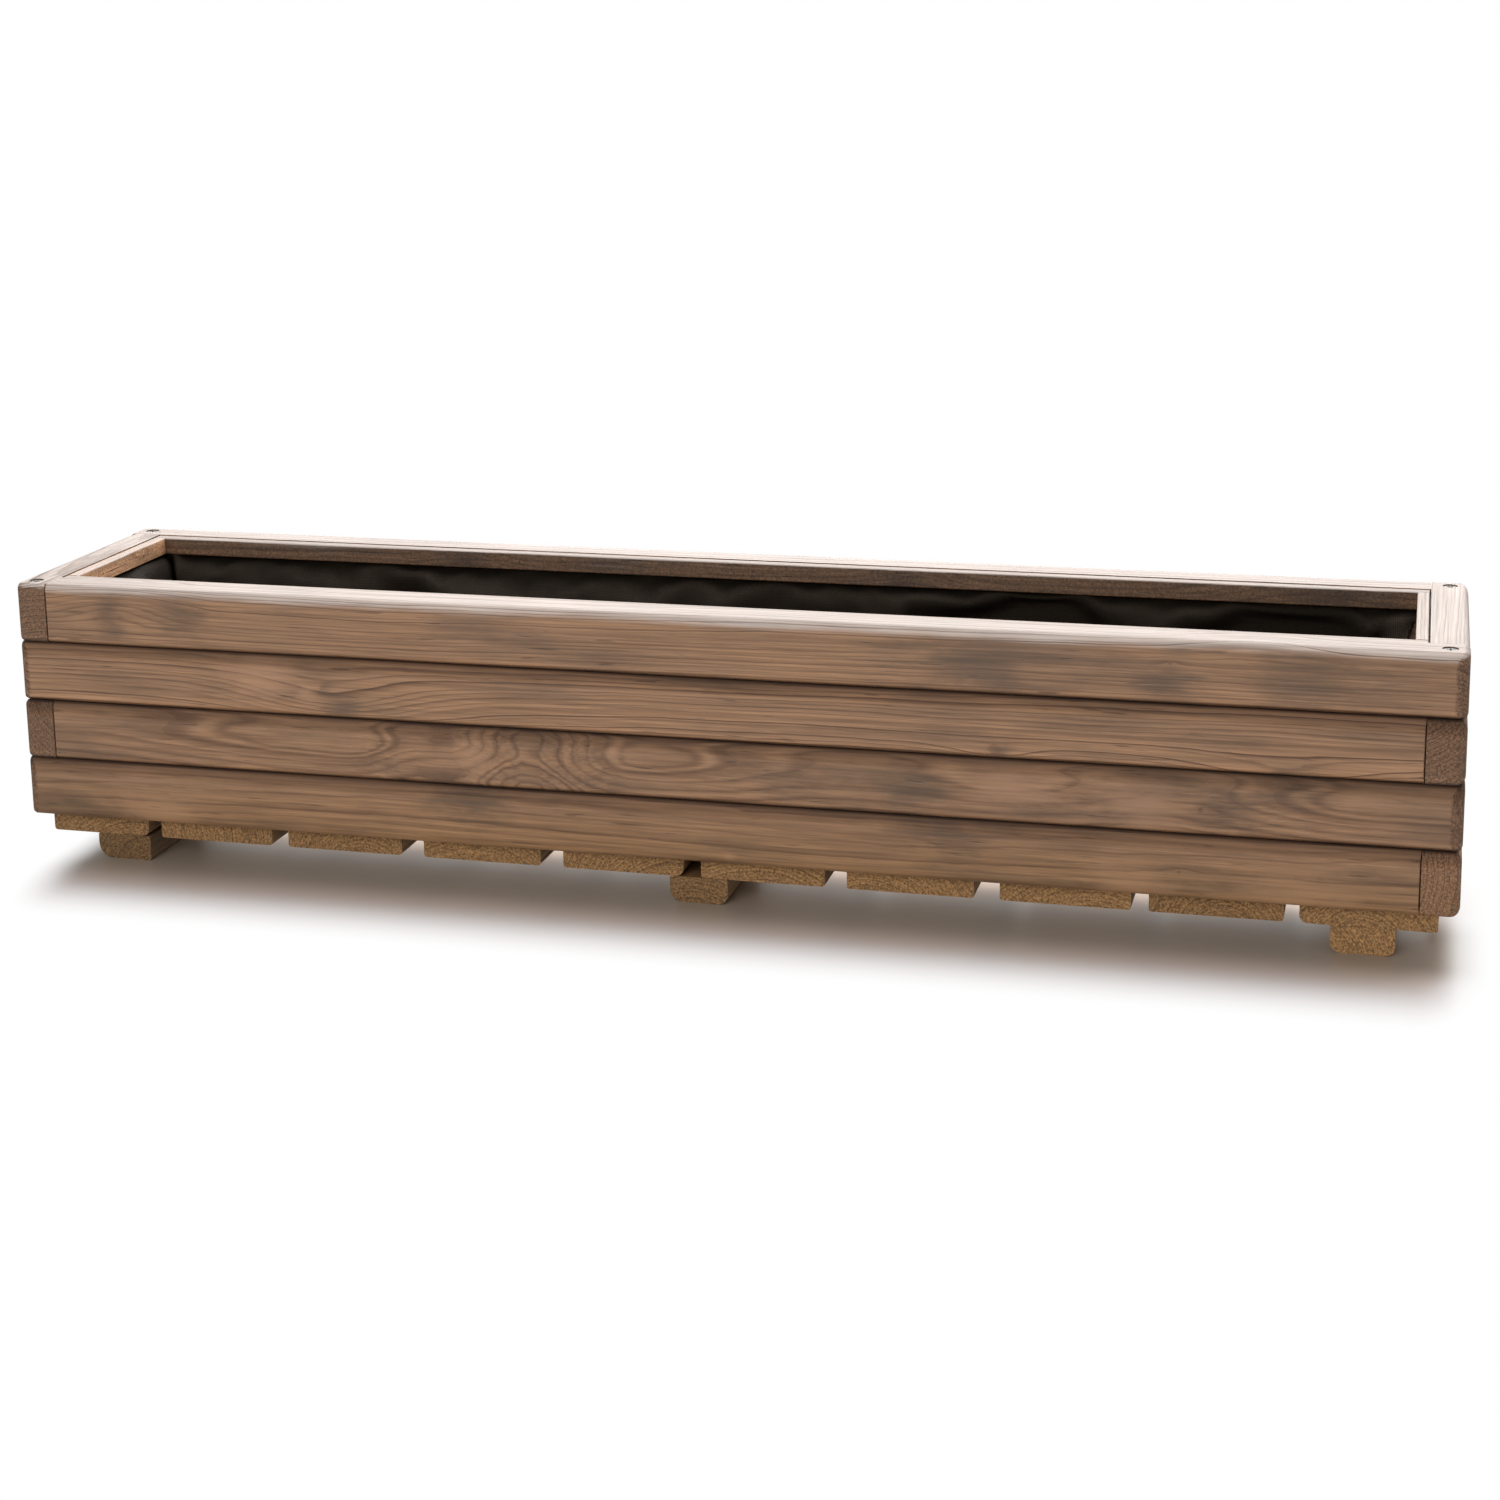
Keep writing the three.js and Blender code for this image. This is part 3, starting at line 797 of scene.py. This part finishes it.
# %% Rails from their logs
# heart: how far the log's middle lay behind the face and above the rail's middle. See saw_from_log.
FRONT_LOGS = {
    "top": dict(heart=(22, 46), lean=6, rings=2.7, contrast=0.8, tone=1.0,
                knots=((-478, 2, -7), (335, 7, 1.6), (392, 22, -7)),
                stains=((-482, 8, 7), (-478, -10, 6), (-421, 2, 12), (330, -8, 12), (430, -2, 20),
                        (190, 2, 22))),
    "upper": dict(heart=(24, -52), lean=-9, rings=3.1, contrast=0.95, tone=1.05,
                  knots=((-270, -3, -11), (239, -16, 4.2), (445, -22, -9)),
                  stains=((-262, -14, 8), (-277, 0, 4), (-330, 8, -14), (244, -18, 5), (-292, -4, -6),
                          (440, -22, 4))),
    "lower": dict(heart=(14, 9), lean=0, rings=3.3, contrast=0.85, tone=0.99, soft=0.75,
                  swells=((-142, 20, 46), (-235, 6, 30), (120, 7, 110), (330, 9, 90), (-520, 6, 160)),
                  knots=((-206, -8, -5), (358, -4, 1.6)),
                  stains=((-186, -1, -10), (-72, 9, -6), (150, -2, 15), (222, 3, -13), (318, -2, -15),
                          (372, -3, 14))),
    "bottom": dict(heart=(60, 30), lean=8, rings=3.3, contrast=0.7, tone=0.98, soft=0.2,
                   knots=((371, -4, 1.2),),
                   stains=((41, -16, -2.5), (200, 16, 18), (-160, 14, 18), (450, -21, -21),
                           (335, -17, -15), (-420, -16, -18))),
}
SIDE_LOGS = {
    ("top", "left"): dict(heart=(8, -70), rings=2.6, contrast=0.9),
    ("upper", "right"): dict(heart=(30, 50), rings=2.2, contrast=0.9),
    ("lower", "left"): dict(heart=(40, 30), rings=2.2, contrast=0.9),
    ("bottom", "right"): dict(heart=(75, 6), rings=2.4, contrast=0.9, tone=1.4),
}
rails = []
number = 0
for level in COURSES:
    for side in TURNS:
        number += 1
        mesh, low, high, run, out = rail_mesh(level, side)
        start, end = (low, high) if run.dot(high - low) > 0 else (high, low)
        sliced(mesh, run, start, end, LENGTHWISE_STEP)
        grain = Vector((abs(run.x), abs(run.y), 0))
        if side == "front":
            cut = FRONT_LOGS[level]
        else:
            draw = random.Random(number).uniform
            cut = dict(heart=(draw(15, 60), draw(-50, 50)), lean=draw(-10, 10), rings=draw(2.6, 3.8),
                       contrast=draw(0.5, 0.75), tone=draw(0.93, 1.06),
                       knots=((draw(-450, 450), draw(-14, 14), draw(2.5, 6)),))
            cut.update(SIDE_LOGS.get((level, side), {}))
        saw_from_log(mesh, grain, out, (low + high) / 2, number, **cut)
        name = f"{level}_{side}_rail"
        rails.append(timber_piece(f"{name}_timber", mesh, planed_brown_softwood, "rails", name))
triangles = sum(len(polygon.vertices) - 2 for polygon in rails[0].data.polygons)
print("rails:", len(rails), "triangles in the first:", triangles)

# %% [markdown]
# ## The battens
#
# Four thin planed strips clamp the liner round the top course. They are ripped from the same stock
# as the rails, and two of their edges are only eased with sandpaper.

# %% Battens
BATTEN_EASE = mm(1.2)
BATTEN_LOGS = {
    "front": dict(heart=(30, 20), rings=2.6, tone=1.0),
    "right": dict(heart=(45, 12), rings=2.8, tone=1.08),
    # The back batten's low tone is painted shade: its inner face is turned away from the lights.
    "back": dict(heart=(38, 22), lean=4, rings=2.2, contrast=0.75, tone=0.5, soft=0.3,
                 swells=((-243, 5, 34), (130, 6, 36), (430, 6, 60)),
                 stains=((-243, 1, 12), (120, -2, 13), (455, 0, 20))),
    # The left batten's high tone is painted light on its inner face, which faces right.
    "left": dict(heart=(30, -6), rings=2.9, tone=2.2, knots=((30, 3, 2.6),)),
}
battens = []
for side, cut in BATTEN_LOGS.items():
    number += 1
    name = f"{side}_liner_batten"
    low, high = cad_box(name)
    middle, half = (low + high) / 2, (high - low) / 2
    out = -outer[side]
    run = X if abs(out.y) > 0.5 else Y
    face = middle.dot(out) + abs(half.dot(out))

    def eased(p):
        return abs(p.dot(out) - face) < TINY and abs((p - middle).dot(run)) < TINY

    mesh = rounded_block(low, high, [(eased, BATTEN_EASE)], segments=3)
    sliced(mesh, run, low, high, LENGTHWISE_STEP)
    saw_from_log(mesh, run, out, middle, number, **cut)
    battens.append(timber_piece(f"{side}_batten_timber", mesh, ripped_brown_softwood, "battens", name))
print("battens:", len(battens))

# %% [markdown]
# ## The base
#
# Ten sawn boards lie across the bottom and three bearers lift them off the ground. They are the
# cheap end of the sawmill's stack: their edges are chamfered or rounded as each one came, which is
# plain at their sawn ends, the only part that is seen from the front.


# %% Sawn boards
CROSSWISE_STEP = mm(20)  # how far apart a base board is cut across


def base_board(name, radii, segments, log_number, slot, **cut):
    """A board that runs front to back. radii, in millimetres, are in the order of corners below."""
    low, high = cad_box(name)
    middle = (low + high) / 2
    corners = ((-1, -1), (1, -1), (-1, 1), (1, 1))  # left or right, bottom or top

    def long_edge(side, height):
        return lambda p: (abs(p.y - middle.y) < TINY and (p.x - middle.x) * side > 0
                          and (p.z - middle.z) * height > 0)

    rounding = [(long_edge(*corner), mm(radius)) for corner, radius in zip(corners, radii)]
    mesh = rounded_block(low, high, rounding, segments)
    sliced(mesh, Y, low, high, CROSSWISE_STEP)
    saw_from_log(mesh, Y, Z, middle, log_number, up=X, **cut)
    timber_piece(f"{name}_timber", mesh, sawn_pale_softwood, slot, name)


SLATS = (
    ((2.5, 5.5, 1.5, 2), dict(heart=(60, 30), rings=2.4, tone=0.84)),
    ((2, 2.5, 2, 2), dict(heart=(12, -70), rings=2.2, tone=0.9)),
    ((2, 3, 2, 2), dict(heart=(30, 15), rings=2.6, tone=0.88)),
    ((2.5, 2.5, 2, 2), dict(heart=(70, -10), rings=2.0, tone=0.96)),
    ((2, 6, 1.5, 2), dict(heart=(45, 40), rings=2.4, tone=0.95)),
    ((2, 2, 2, 2), dict(heart=(80, 0), rings=2.1, tone=1.0)),
    ((2, 2, 1.5, 4.5), dict(heart=(50, -30), rings=2.3, tone=1.02)),
    ((2, 2, 1.5, 4.5), dict(heart=(66, 20), rings=2.2, tone=1.02)),
    ((2, 2.5, 2, 2.5), dict(heart=(24, 4), rings=2.7, tone=0.88)),
    ((5.5, 2, 1.5, 2), dict(heart=(26, -6), rings=2.5, tone=0.99)),
)
for i, (radii, cut) in enumerate(SLATS):
    number += 1
    base_board(f"base_slat_{i + 1}", radii, 3, number, "slats", contrast=0.85, **cut)

BEARERS = {
    "left_bearer": ((12, 2.5, 1, 1), dict(heart=(30, 30), rings=2.2, tone=0.54)),
    "middle_bearer": ((9.5, 8, 1, 1), dict(heart=(50, -4), rings=2.4, tone=0.72)),
    "right_bearer": ((8, 7, 1, 1), dict(heart=(20, -40), rings=1.9, tone=1.12)),
}
for name, (radii, cut) in BEARERS.items():
    number += 1
    base_board(name, radii, 5, number, "bearers", contrast=0.8, **cut)
print("boards in the base:", len(SLATS) + len(BEARERS))

# %% [markdown]
# ## The long corner screws
#
# One zinc-plated screw goes down through the four stacked rail ends at each corner. Its head is
# sunk just under the wood, so only a grey disc with a cross recess shows. The head and shank are
# turned from one profile, and the recess is cut out with a cross of two blocks. The thread would
# show only if the planter were taken apart, but it is turned too, as a row of low ridges.

# %% Zinc
zinc, tree, output = new_material("zinc_plated_steel")
spangle = {"Vector": coordinates(tree, "Object"), "Scale": 900.0, "Detail": 3.0}
spangle = node(tree, "ShaderNodeTexNoise", spangle)
dull = remap(tree, spangle, 0.35, 0.7, 0.34, 0.55)
grime = remap(tree, spangle, 0.5, 0.75, 0, 0.6)
grime = blend(tree, grime, srgb("#918F8B"), srgb("#6C6862"))
metal = {"Base Color": grime, "Metallic": 1.0, "Roughness": dull}
metal = node(tree, "ShaderNodeBsdfPrincipled", metal)
tree.links.new(metal, output.inputs["Surface"])

# %% Turning the screws
recess_mesh = mesh_from(block(mm(-3, -0.6, -2.2), mm(3, 0.6, 2.2)), "recess")
turned_recess = recess_mesh.copy()
turned_recess.transform(Matrix.Rotation(QUARTER_TURN, 4, "Z"))
recess_tools = [placed("recess_tool", data) for data in (recess_mesh, turned_recess)]


def screw_mesh(head, shank, length, threaded, pitch, sides):
    """A countersunk screw that points down from the origin. Radii and lengths are in millimetres."""
    root = shank * 0.8
    rim = -0.6  # the height of the edge round the head
    profile = [(0, 0), (head, 0), (head, rim), (shank, rim - (head - shank)), (shank, threaded - length)]
    for i in range(round((threaded - length * 0.05) / pitch)):
        ridge = threaded - length - i * pitch
        profile += [(root, ridge - pitch * 0.35), (shank, ridge - pitch)]
    profile += [(root, -length * 0.95), (0, -length)]
    turned = turned_profile(profile_in_mm(*profile), sides)
    return finished(mesh_from(turned, "screw"), *(minus(tool) for tool in recess_tools))


CORNER_SCREW = (5.5, 3, 180, 70, 3.2, 32)
for name in ("front_left", "front_right", "back_left", "back_right"):
    node_name = f"{name}_corner_screw"
    low, high = cad_box(node_name)
    mesh = screw_mesh(*CORNER_SCREW)
    turn = random.Random(name).uniform(0, QUARTER_TURN)
    mesh.transform(Matrix.Rotation(turn, 4, "Z"))
    mesh.transform(Matrix.Translation(((low.x + high.x) / 2, (low.y + high.y) / 2, high.z)))
    timber_piece(f"{name}_screw", mesh, zinc, "screws", node_name)
print("corner screw faces:", len(mesh.polygons))

# %% [markdown]
# ## The small screws and nails
#
# The base is screwed together from below: each slat into the bottom rails and each bearer into the
# slats over it. Panel nails with a brown lacquer hold the battens. They are set flush in the timber
# and their colour hides them. Each kind is joined into one piece.


# %% Base screws and batten nails
def put_together(name, mesh, places, material):
    """One piece out of a mesh at many places, each a matrix."""
    bm = bmesh.new()
    for matrix in places:
        copy = mesh.copy()
        copy.transform(matrix)
        bm.from_mesh(copy)
        bpy.data.meshes.remove(copy)
    joined = mesh_from(bm, name)
    smooth(joined, material)
    piece = placed(name, joined)
    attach(piece, "root")


BASE_SCREW = (4, 1.9, 32, 20, 1.8, 16)
SLAT_SCREW_ROWS = mm(-89.5, 89.5)  # under the front and back bottom rails
BEARER_SCREW_ROWS = mm(-78, -26, 26, 78)
BEARER_PLACES = mm(-475, 0, 485)
JUST = mm(0.05)  # how deep a head lies in its bearer, or how far it stands out of its slat
upside_down = Matrix.Rotation(math.pi, 4, "X")
slat_screws, bearer_screws = [], []
for i in range(len(SLATS)):
    low, high = cad_box(f"base_slat_{i + 1}")
    for part in (0.25, 0.75):
        for y in SLAT_SCREW_ROWS:
            x = low.x + (high.x - low.x) * part
            under_bearer = any(abs(x - place) < mm(30) for place in BEARER_PLACES)
            if not under_bearer:
                slat_screws.append(Matrix.Translation((x, y, low.z - JUST)) @ upside_down)
for bearer in BEARERS:
    low, high = cad_box(bearer)
    for y in BEARER_SCREW_ROWS:
        x = (low.x + high.x) / 2
        if bearer == "middle_bearer":  # it lies under a gap, and is screwed to the slat on the right
            x += mm(8)
        bearer_screws.append(Matrix.Translation((x, y, low.z + JUST)) @ upside_down)
small_screw = screw_mesh(*BASE_SCREW)
put_together("slat_screws", small_screw, slat_screws, zinc)
put_together("bearer_screws", small_screw, bearer_screws, zinc)
for tool in recess_tools:
    bpy.data.objects.remove(tool)

NAIL = profile_in_mm((0, 0), (0.9, 0), (0.9, -0.8), (0.7, -1.6), (0.7, -17), (0, -18.5))
nail_mesh = mesh_from(turned_profile(NAIL, 10), "nail")
nails = []
for side in TURNS:
    low, high = cad_box(f"{side}_liner_batten")
    middle, half = (low + high) / 2, (high - low) / 2
    inward = -outer[side]
    face = middle + inward * abs(half.dot(inward))
    along = X if abs(inward.y) > 0.5 else Y
    count = 5 if along is X else 2
    for i in range(count):
        spot = face + along * (abs(half.dot(along)) * ((i + 0.5) / count * 2 - 1) * 0.94)
        turn = Z.rotation_difference(inward).to_matrix().to_4x4()
        nails.append(Matrix.Translation(spot + inward * mm(0.03)) @ turn)
lacquer, tree, output = new_material("brown_lacquered_steel")
chips = {"Vector": coordinates(tree, "Object"), "Scale": 1800.0, "Detail": 2.0}
chips = node(tree, "ShaderNodeTexNoise", chips)
coat = blend(tree, remap(tree, chips, 0.55, 0.68, 0, 0.6), srgb("#4A3628"), srgb("#2C211A"))
coat = {"Base Color": coat, "Roughness": 0.45, "IOR": 1.5}
coat = node(tree, "ShaderNodeBsdfPrincipled", coat)
tree.links.new(coat, output.inputs["Surface"])
put_together("batten_nails", nail_mesh, nails, lacquer)
print("slat screws:", len(slat_screws), "bearer screws:", len(bearer_screws), "nails:", len(nails))

# %% [markdown]
# ## The liner
#
# The liner is one cut of black ground-cover fabric, woven from narrow plastic tapes. The cut is a
# cross, a floor with four walls, sewn up at the corners like a bag. It is pushed into the box by
# hand and clamped behind the battens. It is a little larger than the box, so it hangs in soft folds.
# The seam in the back right corner has come open, and its edge curls forwards off the timber.
#
# The sheet starts as an open box that is cut into small cells. The folds that the maker's hand left
# are pushed into it first, and then a cloth simulation lets it grow by a few hundredths and sag.

# %% Cutting the liner
LINER_X, LINER_Y, LINER_FOOT, LINER_TOP, LINER_THICK = mm(522.3, 82.3, 36.9, 222, 0.8)
CLAMPED_ABOVE = mm(208.9)
LINER_CELL = mm(9)
SLIT = [Vector(mm(*place)) for place in ((523.5, 0, 209), (497, 0, 166), (523.5, 0, 122))]  # back wall

liner_bm = block((-LINER_X, -LINER_Y, LINER_FOOT), (LINER_X, LINER_Y, LINER_TOP))
lid = [face for face in liner_bm.faces if face.normal.z > 0.9]
bmesh.ops.delete(liner_bm, geom=lid, context="FACES")
uprights = [edge for edge in liner_bm.edges if abs(edge.verts[0].co.z - edge.verts[1].co.z) > 0.1]
bmesh.ops.bevel(liner_bm, geom=uprights, offset=mm(2), segments=2, profile=0.5, affect="EDGES",
                material=-1)


def evenly(low, high, step):
    """Places between two ends, a step or a little less apart."""
    count = math.ceil((high - low) / step)
    return [low + (high - low) * i / count for i in range(1, count)]


for axis, places in (
    (X, evenly(-LINER_X, LINER_X, LINER_CELL)),
    (X, mm(-516.5, -509.5, -506, -500.5, -497.5, 501.5, 509.5)),
    (Y, evenly(-LINER_Y, LINER_Y, LINER_CELL)),
    (Z, [CLAMPED_ABOVE + mm(0.1), mm(215), *evenly(LINER_FOOT, CLAMPED_ABOVE, LINER_CELL)]),
):
    for place in places:
        cut_across(liner_bm, axis, axis * place, reach=TINY)


def near_slit(face):
    """True for a face of the back wall near its right end."""
    middle = face.calc_center_median()
    return middle.y > mm(76) and middle.x > mm(470)


slit_edges = []
for start, end in zip(SLIT, SLIT[1:]):
    near = [face for face in liner_bm.faces if near_slit(face)]
    geometry = dict.fromkeys(near)  # a dict keeps the order, so the cells come out in the same order
    for face in near:
        geometry.update(dict.fromkeys([*face.edges, *face.verts]))
    across = (end - start).cross(Y).normalized()
    slit_edges.append((start, across))
    bmesh.ops.bisect_plane(liner_bm, geom=list(geometry), dist=mm(0.4), plane_co=start, plane_no=across)
inside = SLIT[0].lerp(SLIT[2], 0.5)


def in_slit(point):
    """True on the open side of both edges of the slit."""
    return all((point - start).dot(across) * (inside - start).dot(across) > 0
               for start, across in slit_edges)


gone = [face for face in liner_bm.faces if near_slit(face) and in_slit(face.calc_center_median())]
bmesh.ops.delete(liner_bm, geom=gone, context="FACES")
print("liner cells:", len(liner_bm.faces), "cut away at the slit:", len(gone))

# %% Laying the weave on the cut
# The UV map is the flat cut in metres: each wall is folded down round the floor's edge.
weave_map = liner_bm.loops.layers.uv.new("cut")
for face in liner_bm.faces:
    turn = face.normal
    for loop in face.loops:
        x, y, z = loop.vert.co
        up = z - LINER_FOOT
        if abs(turn.z) > 0.7:
            loop[weave_map].uv = (x, y)
        elif abs(turn.y) > abs(turn.x):
            loop[weave_map].uv = (x, y + math.copysign(up, y))
        else:
            loop[weave_map].uv = (x + math.copysign(up, x), y)
flat_area = sum(face.calc_area() for face in liner_bm.faces)

# %% Folds that the hand left
# Each is its place and height on the back wall at both ends, how far it comes forward and half its
# width, in millimetres.
BACK_FOLDS = (
    (-504.5, 203, -504.5, 40, 12, 8),
    (120, 184, 262, 206, 9, 10),
    (340, 190, 462, 206, 9, 10),
    (-330, 200, -150, 150, 5, 14),
    (-40, 205, -120, 140, 5, 13),
)
CURL = (497, 206, 462, 158, 15, 15)


def folded(point, fold):
    """How far a fold brings a point of the back wall forward."""
    x0, z0, x1, z1, size, half = mm(*fold)
    start, along = Vector((x0, z0)), Vector((x1 - x0, z1 - z0))
    spot = Vector((point.x, point.z)) - start
    part = min(max(spot.dot(along) / along.length_squared, 0), 1)
    gap = (spot - along * part).length
    ease = min(max((CLAMPED_ABOVE - point.z) / mm(12), 0), 1)
    return size * math.exp(-((gap / half) ** 2)) * ease ** 0.6


for vertex in liner_bm.verts:
    if vertex.co.y > LINER_Y - mm(2.5):
        vertex.co.y -= sum(folded(vertex.co, fold) for fold in (*BACK_FOLDS, CURL))
liner_mesh = mesh_from(liner_bm, "liner_sheet")

# %% [markdown]
# The sheet is held where the battens clamp it and falls against the inside of the box. The box that
# stops it is turned inside out, because a cloth is stopped on the side that the faces point to.

# %% Letting the liner hang
DRAPE_FRAMES = 36
LINER_GROWTH = 0.03
WOVEN_SHEET = dict(
    quality=6, mass=0.0005, tension_stiffness=12, compression_stiffness=12, shear_stiffness=6,
    bending_stiffness=0.4, tension_damping=8, compression_damping=8, shear_damping=8, air_damping=4,
    vertex_group_mass="clamped", shrink_min=-LINER_GROWTH,
)


def draped(mesh):
    """The mesh after the cloth has settled in the box."""
    cloth_object = placed("hanging_liner", mesh)
    clamped = cloth_object.vertex_groups.new(name="clamped")
    held = [vertex.index for vertex in mesh.vertices if vertex.co.z > CLAMPED_ABOVE
            or (vertex.co.x > LINER_X - mm(1) and vertex.co.y > mm(40) and vertex.co.z > mm(90))]
    clamped.add(held, 1.0, "REPLACE")
    walls_bm = block(mm(-522.9, -82.9, 36.3), mm(522.9, 82.9, 260))
    bmesh.ops.reverse_faces(walls_bm, faces=walls_bm.faces)
    walls = placed("box_inside", mesh_from(walls_bm, "box_inside"))
    walls.modifiers.new("stops_cloth", "COLLISION")
    walls.collision.thickness_outer = mm(0.3)
    walls.collision.cloth_friction = 8
    cloth = cloth_object.modifiers.new("hang", "CLOTH")
    for name, value in WOVEN_SHEET.items():
        setattr(cloth.settings, name, value)
    cloth.collision_settings.collision_quality = 3
    cloth.collision_settings.distance_min = mm(0.3)
    cloth.point_cache.frame_end = DRAPE_FRAMES
    scene = bpy.context.scene
    for frame_number in range(1, DRAPE_FRAMES + 1):
        scene.frame_set(frame_number)
    graph = bpy.context.evaluated_depsgraph_get()
    settled = bpy.data.meshes.new_from_object(cloth_object.evaluated_get(graph))
    for done in (cloth_object, walls):
        bpy.data.objects.remove(done)
    scene.frame_set(1)
    return settled


rest_mesh, liner_mesh = liner_mesh, draped(liner_mesh)
moves = sorted((a.co - b.co).length for a, b in zip(rest_mesh.vertices, liner_mesh.vertices))
middling, most = moves[len(moves) // 2], moves[-1]
print("the cloth moved, mm:", round(middling * 1000, 1), "and at most", round(most * 1000, 1))
for vertex in liner_mesh.vertices:
    vertex.co.x = min(max(vertex.co.x, -LINER_X), LINER_X)
    vertex.co.y = min(max(vertex.co.y, -LINER_Y), LINER_Y)
    vertex.co.z = max(vertex.co.z, LINER_FOOT)

# %% Woven black tapes
# Tapes of stretched polypropylene in a plain weave. They are 1 mm wide on the roll, and drawn a
# little coarser so that their over and under still shows. Each tape shines along its own length.
# Where the seam has come open, a patch of painted light makes the curled tapes pale and grey.
TAPE = mm(1.3)
OPEN_SEAM = mm(506, 231, 0)  # on the flat cut
SEAM_LIGHT_REACH = mm(8, 22)  # how far from there the painted light is full, and where it ends
woven, tree, output = new_material("woven_black_polypropylene_tape")
flat_cut = node(tree, "ShaderNodeUVMap", uv_map="cut")
count = vector_calc(tree, "MULTIPLY", flat_cut, (1 / TAPE, 1 / TAPE, 1))
tape = split(tree, vector_calc(tree, "FLOOR", count))
phase = vector_calc(tree, "MULTIPLY", count, (math.pi, math.pi, 0))
crown = split(tree, vector_calc(tree, "ABSOLUTE", vector_calc(tree, "SINE", phase)))
parity = calc(tree, "FLOORED_MODULO", calc(tree, "ADD", tape["X"], tape["Y"]), 2.0)
over = calc(tree, "MULTIPLY", calc(tree, "POWER", crown["X"], 0.5), crown["Y"])
under = calc(tree, "MULTIPLY", calc(tree, "POWER", crown["Y"], 0.5), crown["X"])
weave = mix(tree, parity, over, under)
own = {"W": mix(tree, parity, tape["X"], tape["Y"])}
own = node(tree, "ShaderNodeTexWhiteNoise", own, noise_dimensions="1D")
dusty = node(tree, "ShaderNodeTexNoise", {"Vector": flat_cut, "Scale": 34.0, "Detail": 4.0})
dusty = remap(tree, dusty, 0.45, 0.75, 0, 0.35)
# The crowns of the tapes are painted lighter than the hollows between them: painted highlight and shade
# on the weave.
black = blend(tree, weave, srgb("#030202"), srgb("#120E0A"))
black = blend(tree, calc(tree, "MULTIPLY", own, 0.35), black, srgb("#17120D"))
black = blend(tree, dusty, black, srgb("#1C1610"))
painted_seam_light = vector_calc(tree, "LENGTH", vector_calc(tree, "SUBTRACT", flat_cut, OPEN_SEAM))
painted_seam_light = remap(tree, painted_seam_light, *SEAM_LIGHT_REACH, 0.9, 0, smooth=True)
black = blend(tree, painted_seam_light, black, blend(tree, weave, srgb("#2C251F"), srgb("#857869")))
tape_gloss = remap(tree, own, 0, 1, 0.42, 0.58)
weave_bump = node(tree, "ShaderNodeBump", {"Height": weave, "Strength": 0.8, "Distance": mm(0.35)})
tapes = {"Base Color": black, "Roughness": tape_gloss, "IOR": 1.49, "Specular IOR Level": 0.3,
         "Specular Tint": srgb("#FFE2C4"), "Normal": weave_bump}
tapes = node(tree, "ShaderNodeBsdfPrincipled", tapes)
tree.links.new(tapes, output.inputs["Surface"])

# %% The finished liner
liner_mesh.shade_smooth()
liner_mesh.materials.clear()
liner_mesh.materials.append(woven)
liner = placed("woven_liner", liner_mesh)
finer = liner.modifiers.new("finer_folds", "SUBSURF")
finer.levels = finer.render_levels = 1
finer.boundary_smooth = "PRESERVE_CORNERS"
thick = liner.modifiers.new("sheet_thickness", "SOLIDIFY")
thick.thickness = LINER_THICK
thick.offset = 0
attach(liner, "root")
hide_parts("liner")

# %% [markdown]
# ## The dowels
#
# A fluted beech dowel pegs every butt joint. They are hidden inside the rails, so the CAD solids
# stay and only get the finish of turned beech: pale, with short dark flecks along the grain.

# %% Beech
beech, tree, output = new_material("turned_beech")
flecks = {"Vector": coordinates(tree, "Object"), "Scale": 700.0, "Detail": 2.0, "Distortion": 0.4}
flecks = node(tree, "ShaderNodeTexNoise", flecks)
wood = blend(tree, remap(tree, flecks, 0.6, 0.7, 0, 0.7), srgb("#C79F72"), srgb("#8F6842"))
bump = node(tree, "ShaderNodeBump", {"Height": flecks, "Strength": 0.3, "Distance": mm(0.2)})
wood = {"Base Color": wood, "Roughness": 0.55, "IOR": 1.5, "Normal": bump}
wood = node(tree, "ShaderNodeBsdfPrincipled", wood)
tree.links.new(wood, output.inputs["Surface"])
dowels = [piece for name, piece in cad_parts.items() if name.endswith("_dowel")]
for dowel in dowels:
    for place in dowel.material_slots:
        place.material = beech
print("dowels:", len(dowels))

# %% The view transform
bpy.context.scene.view_settings.view_transform = "Standard"
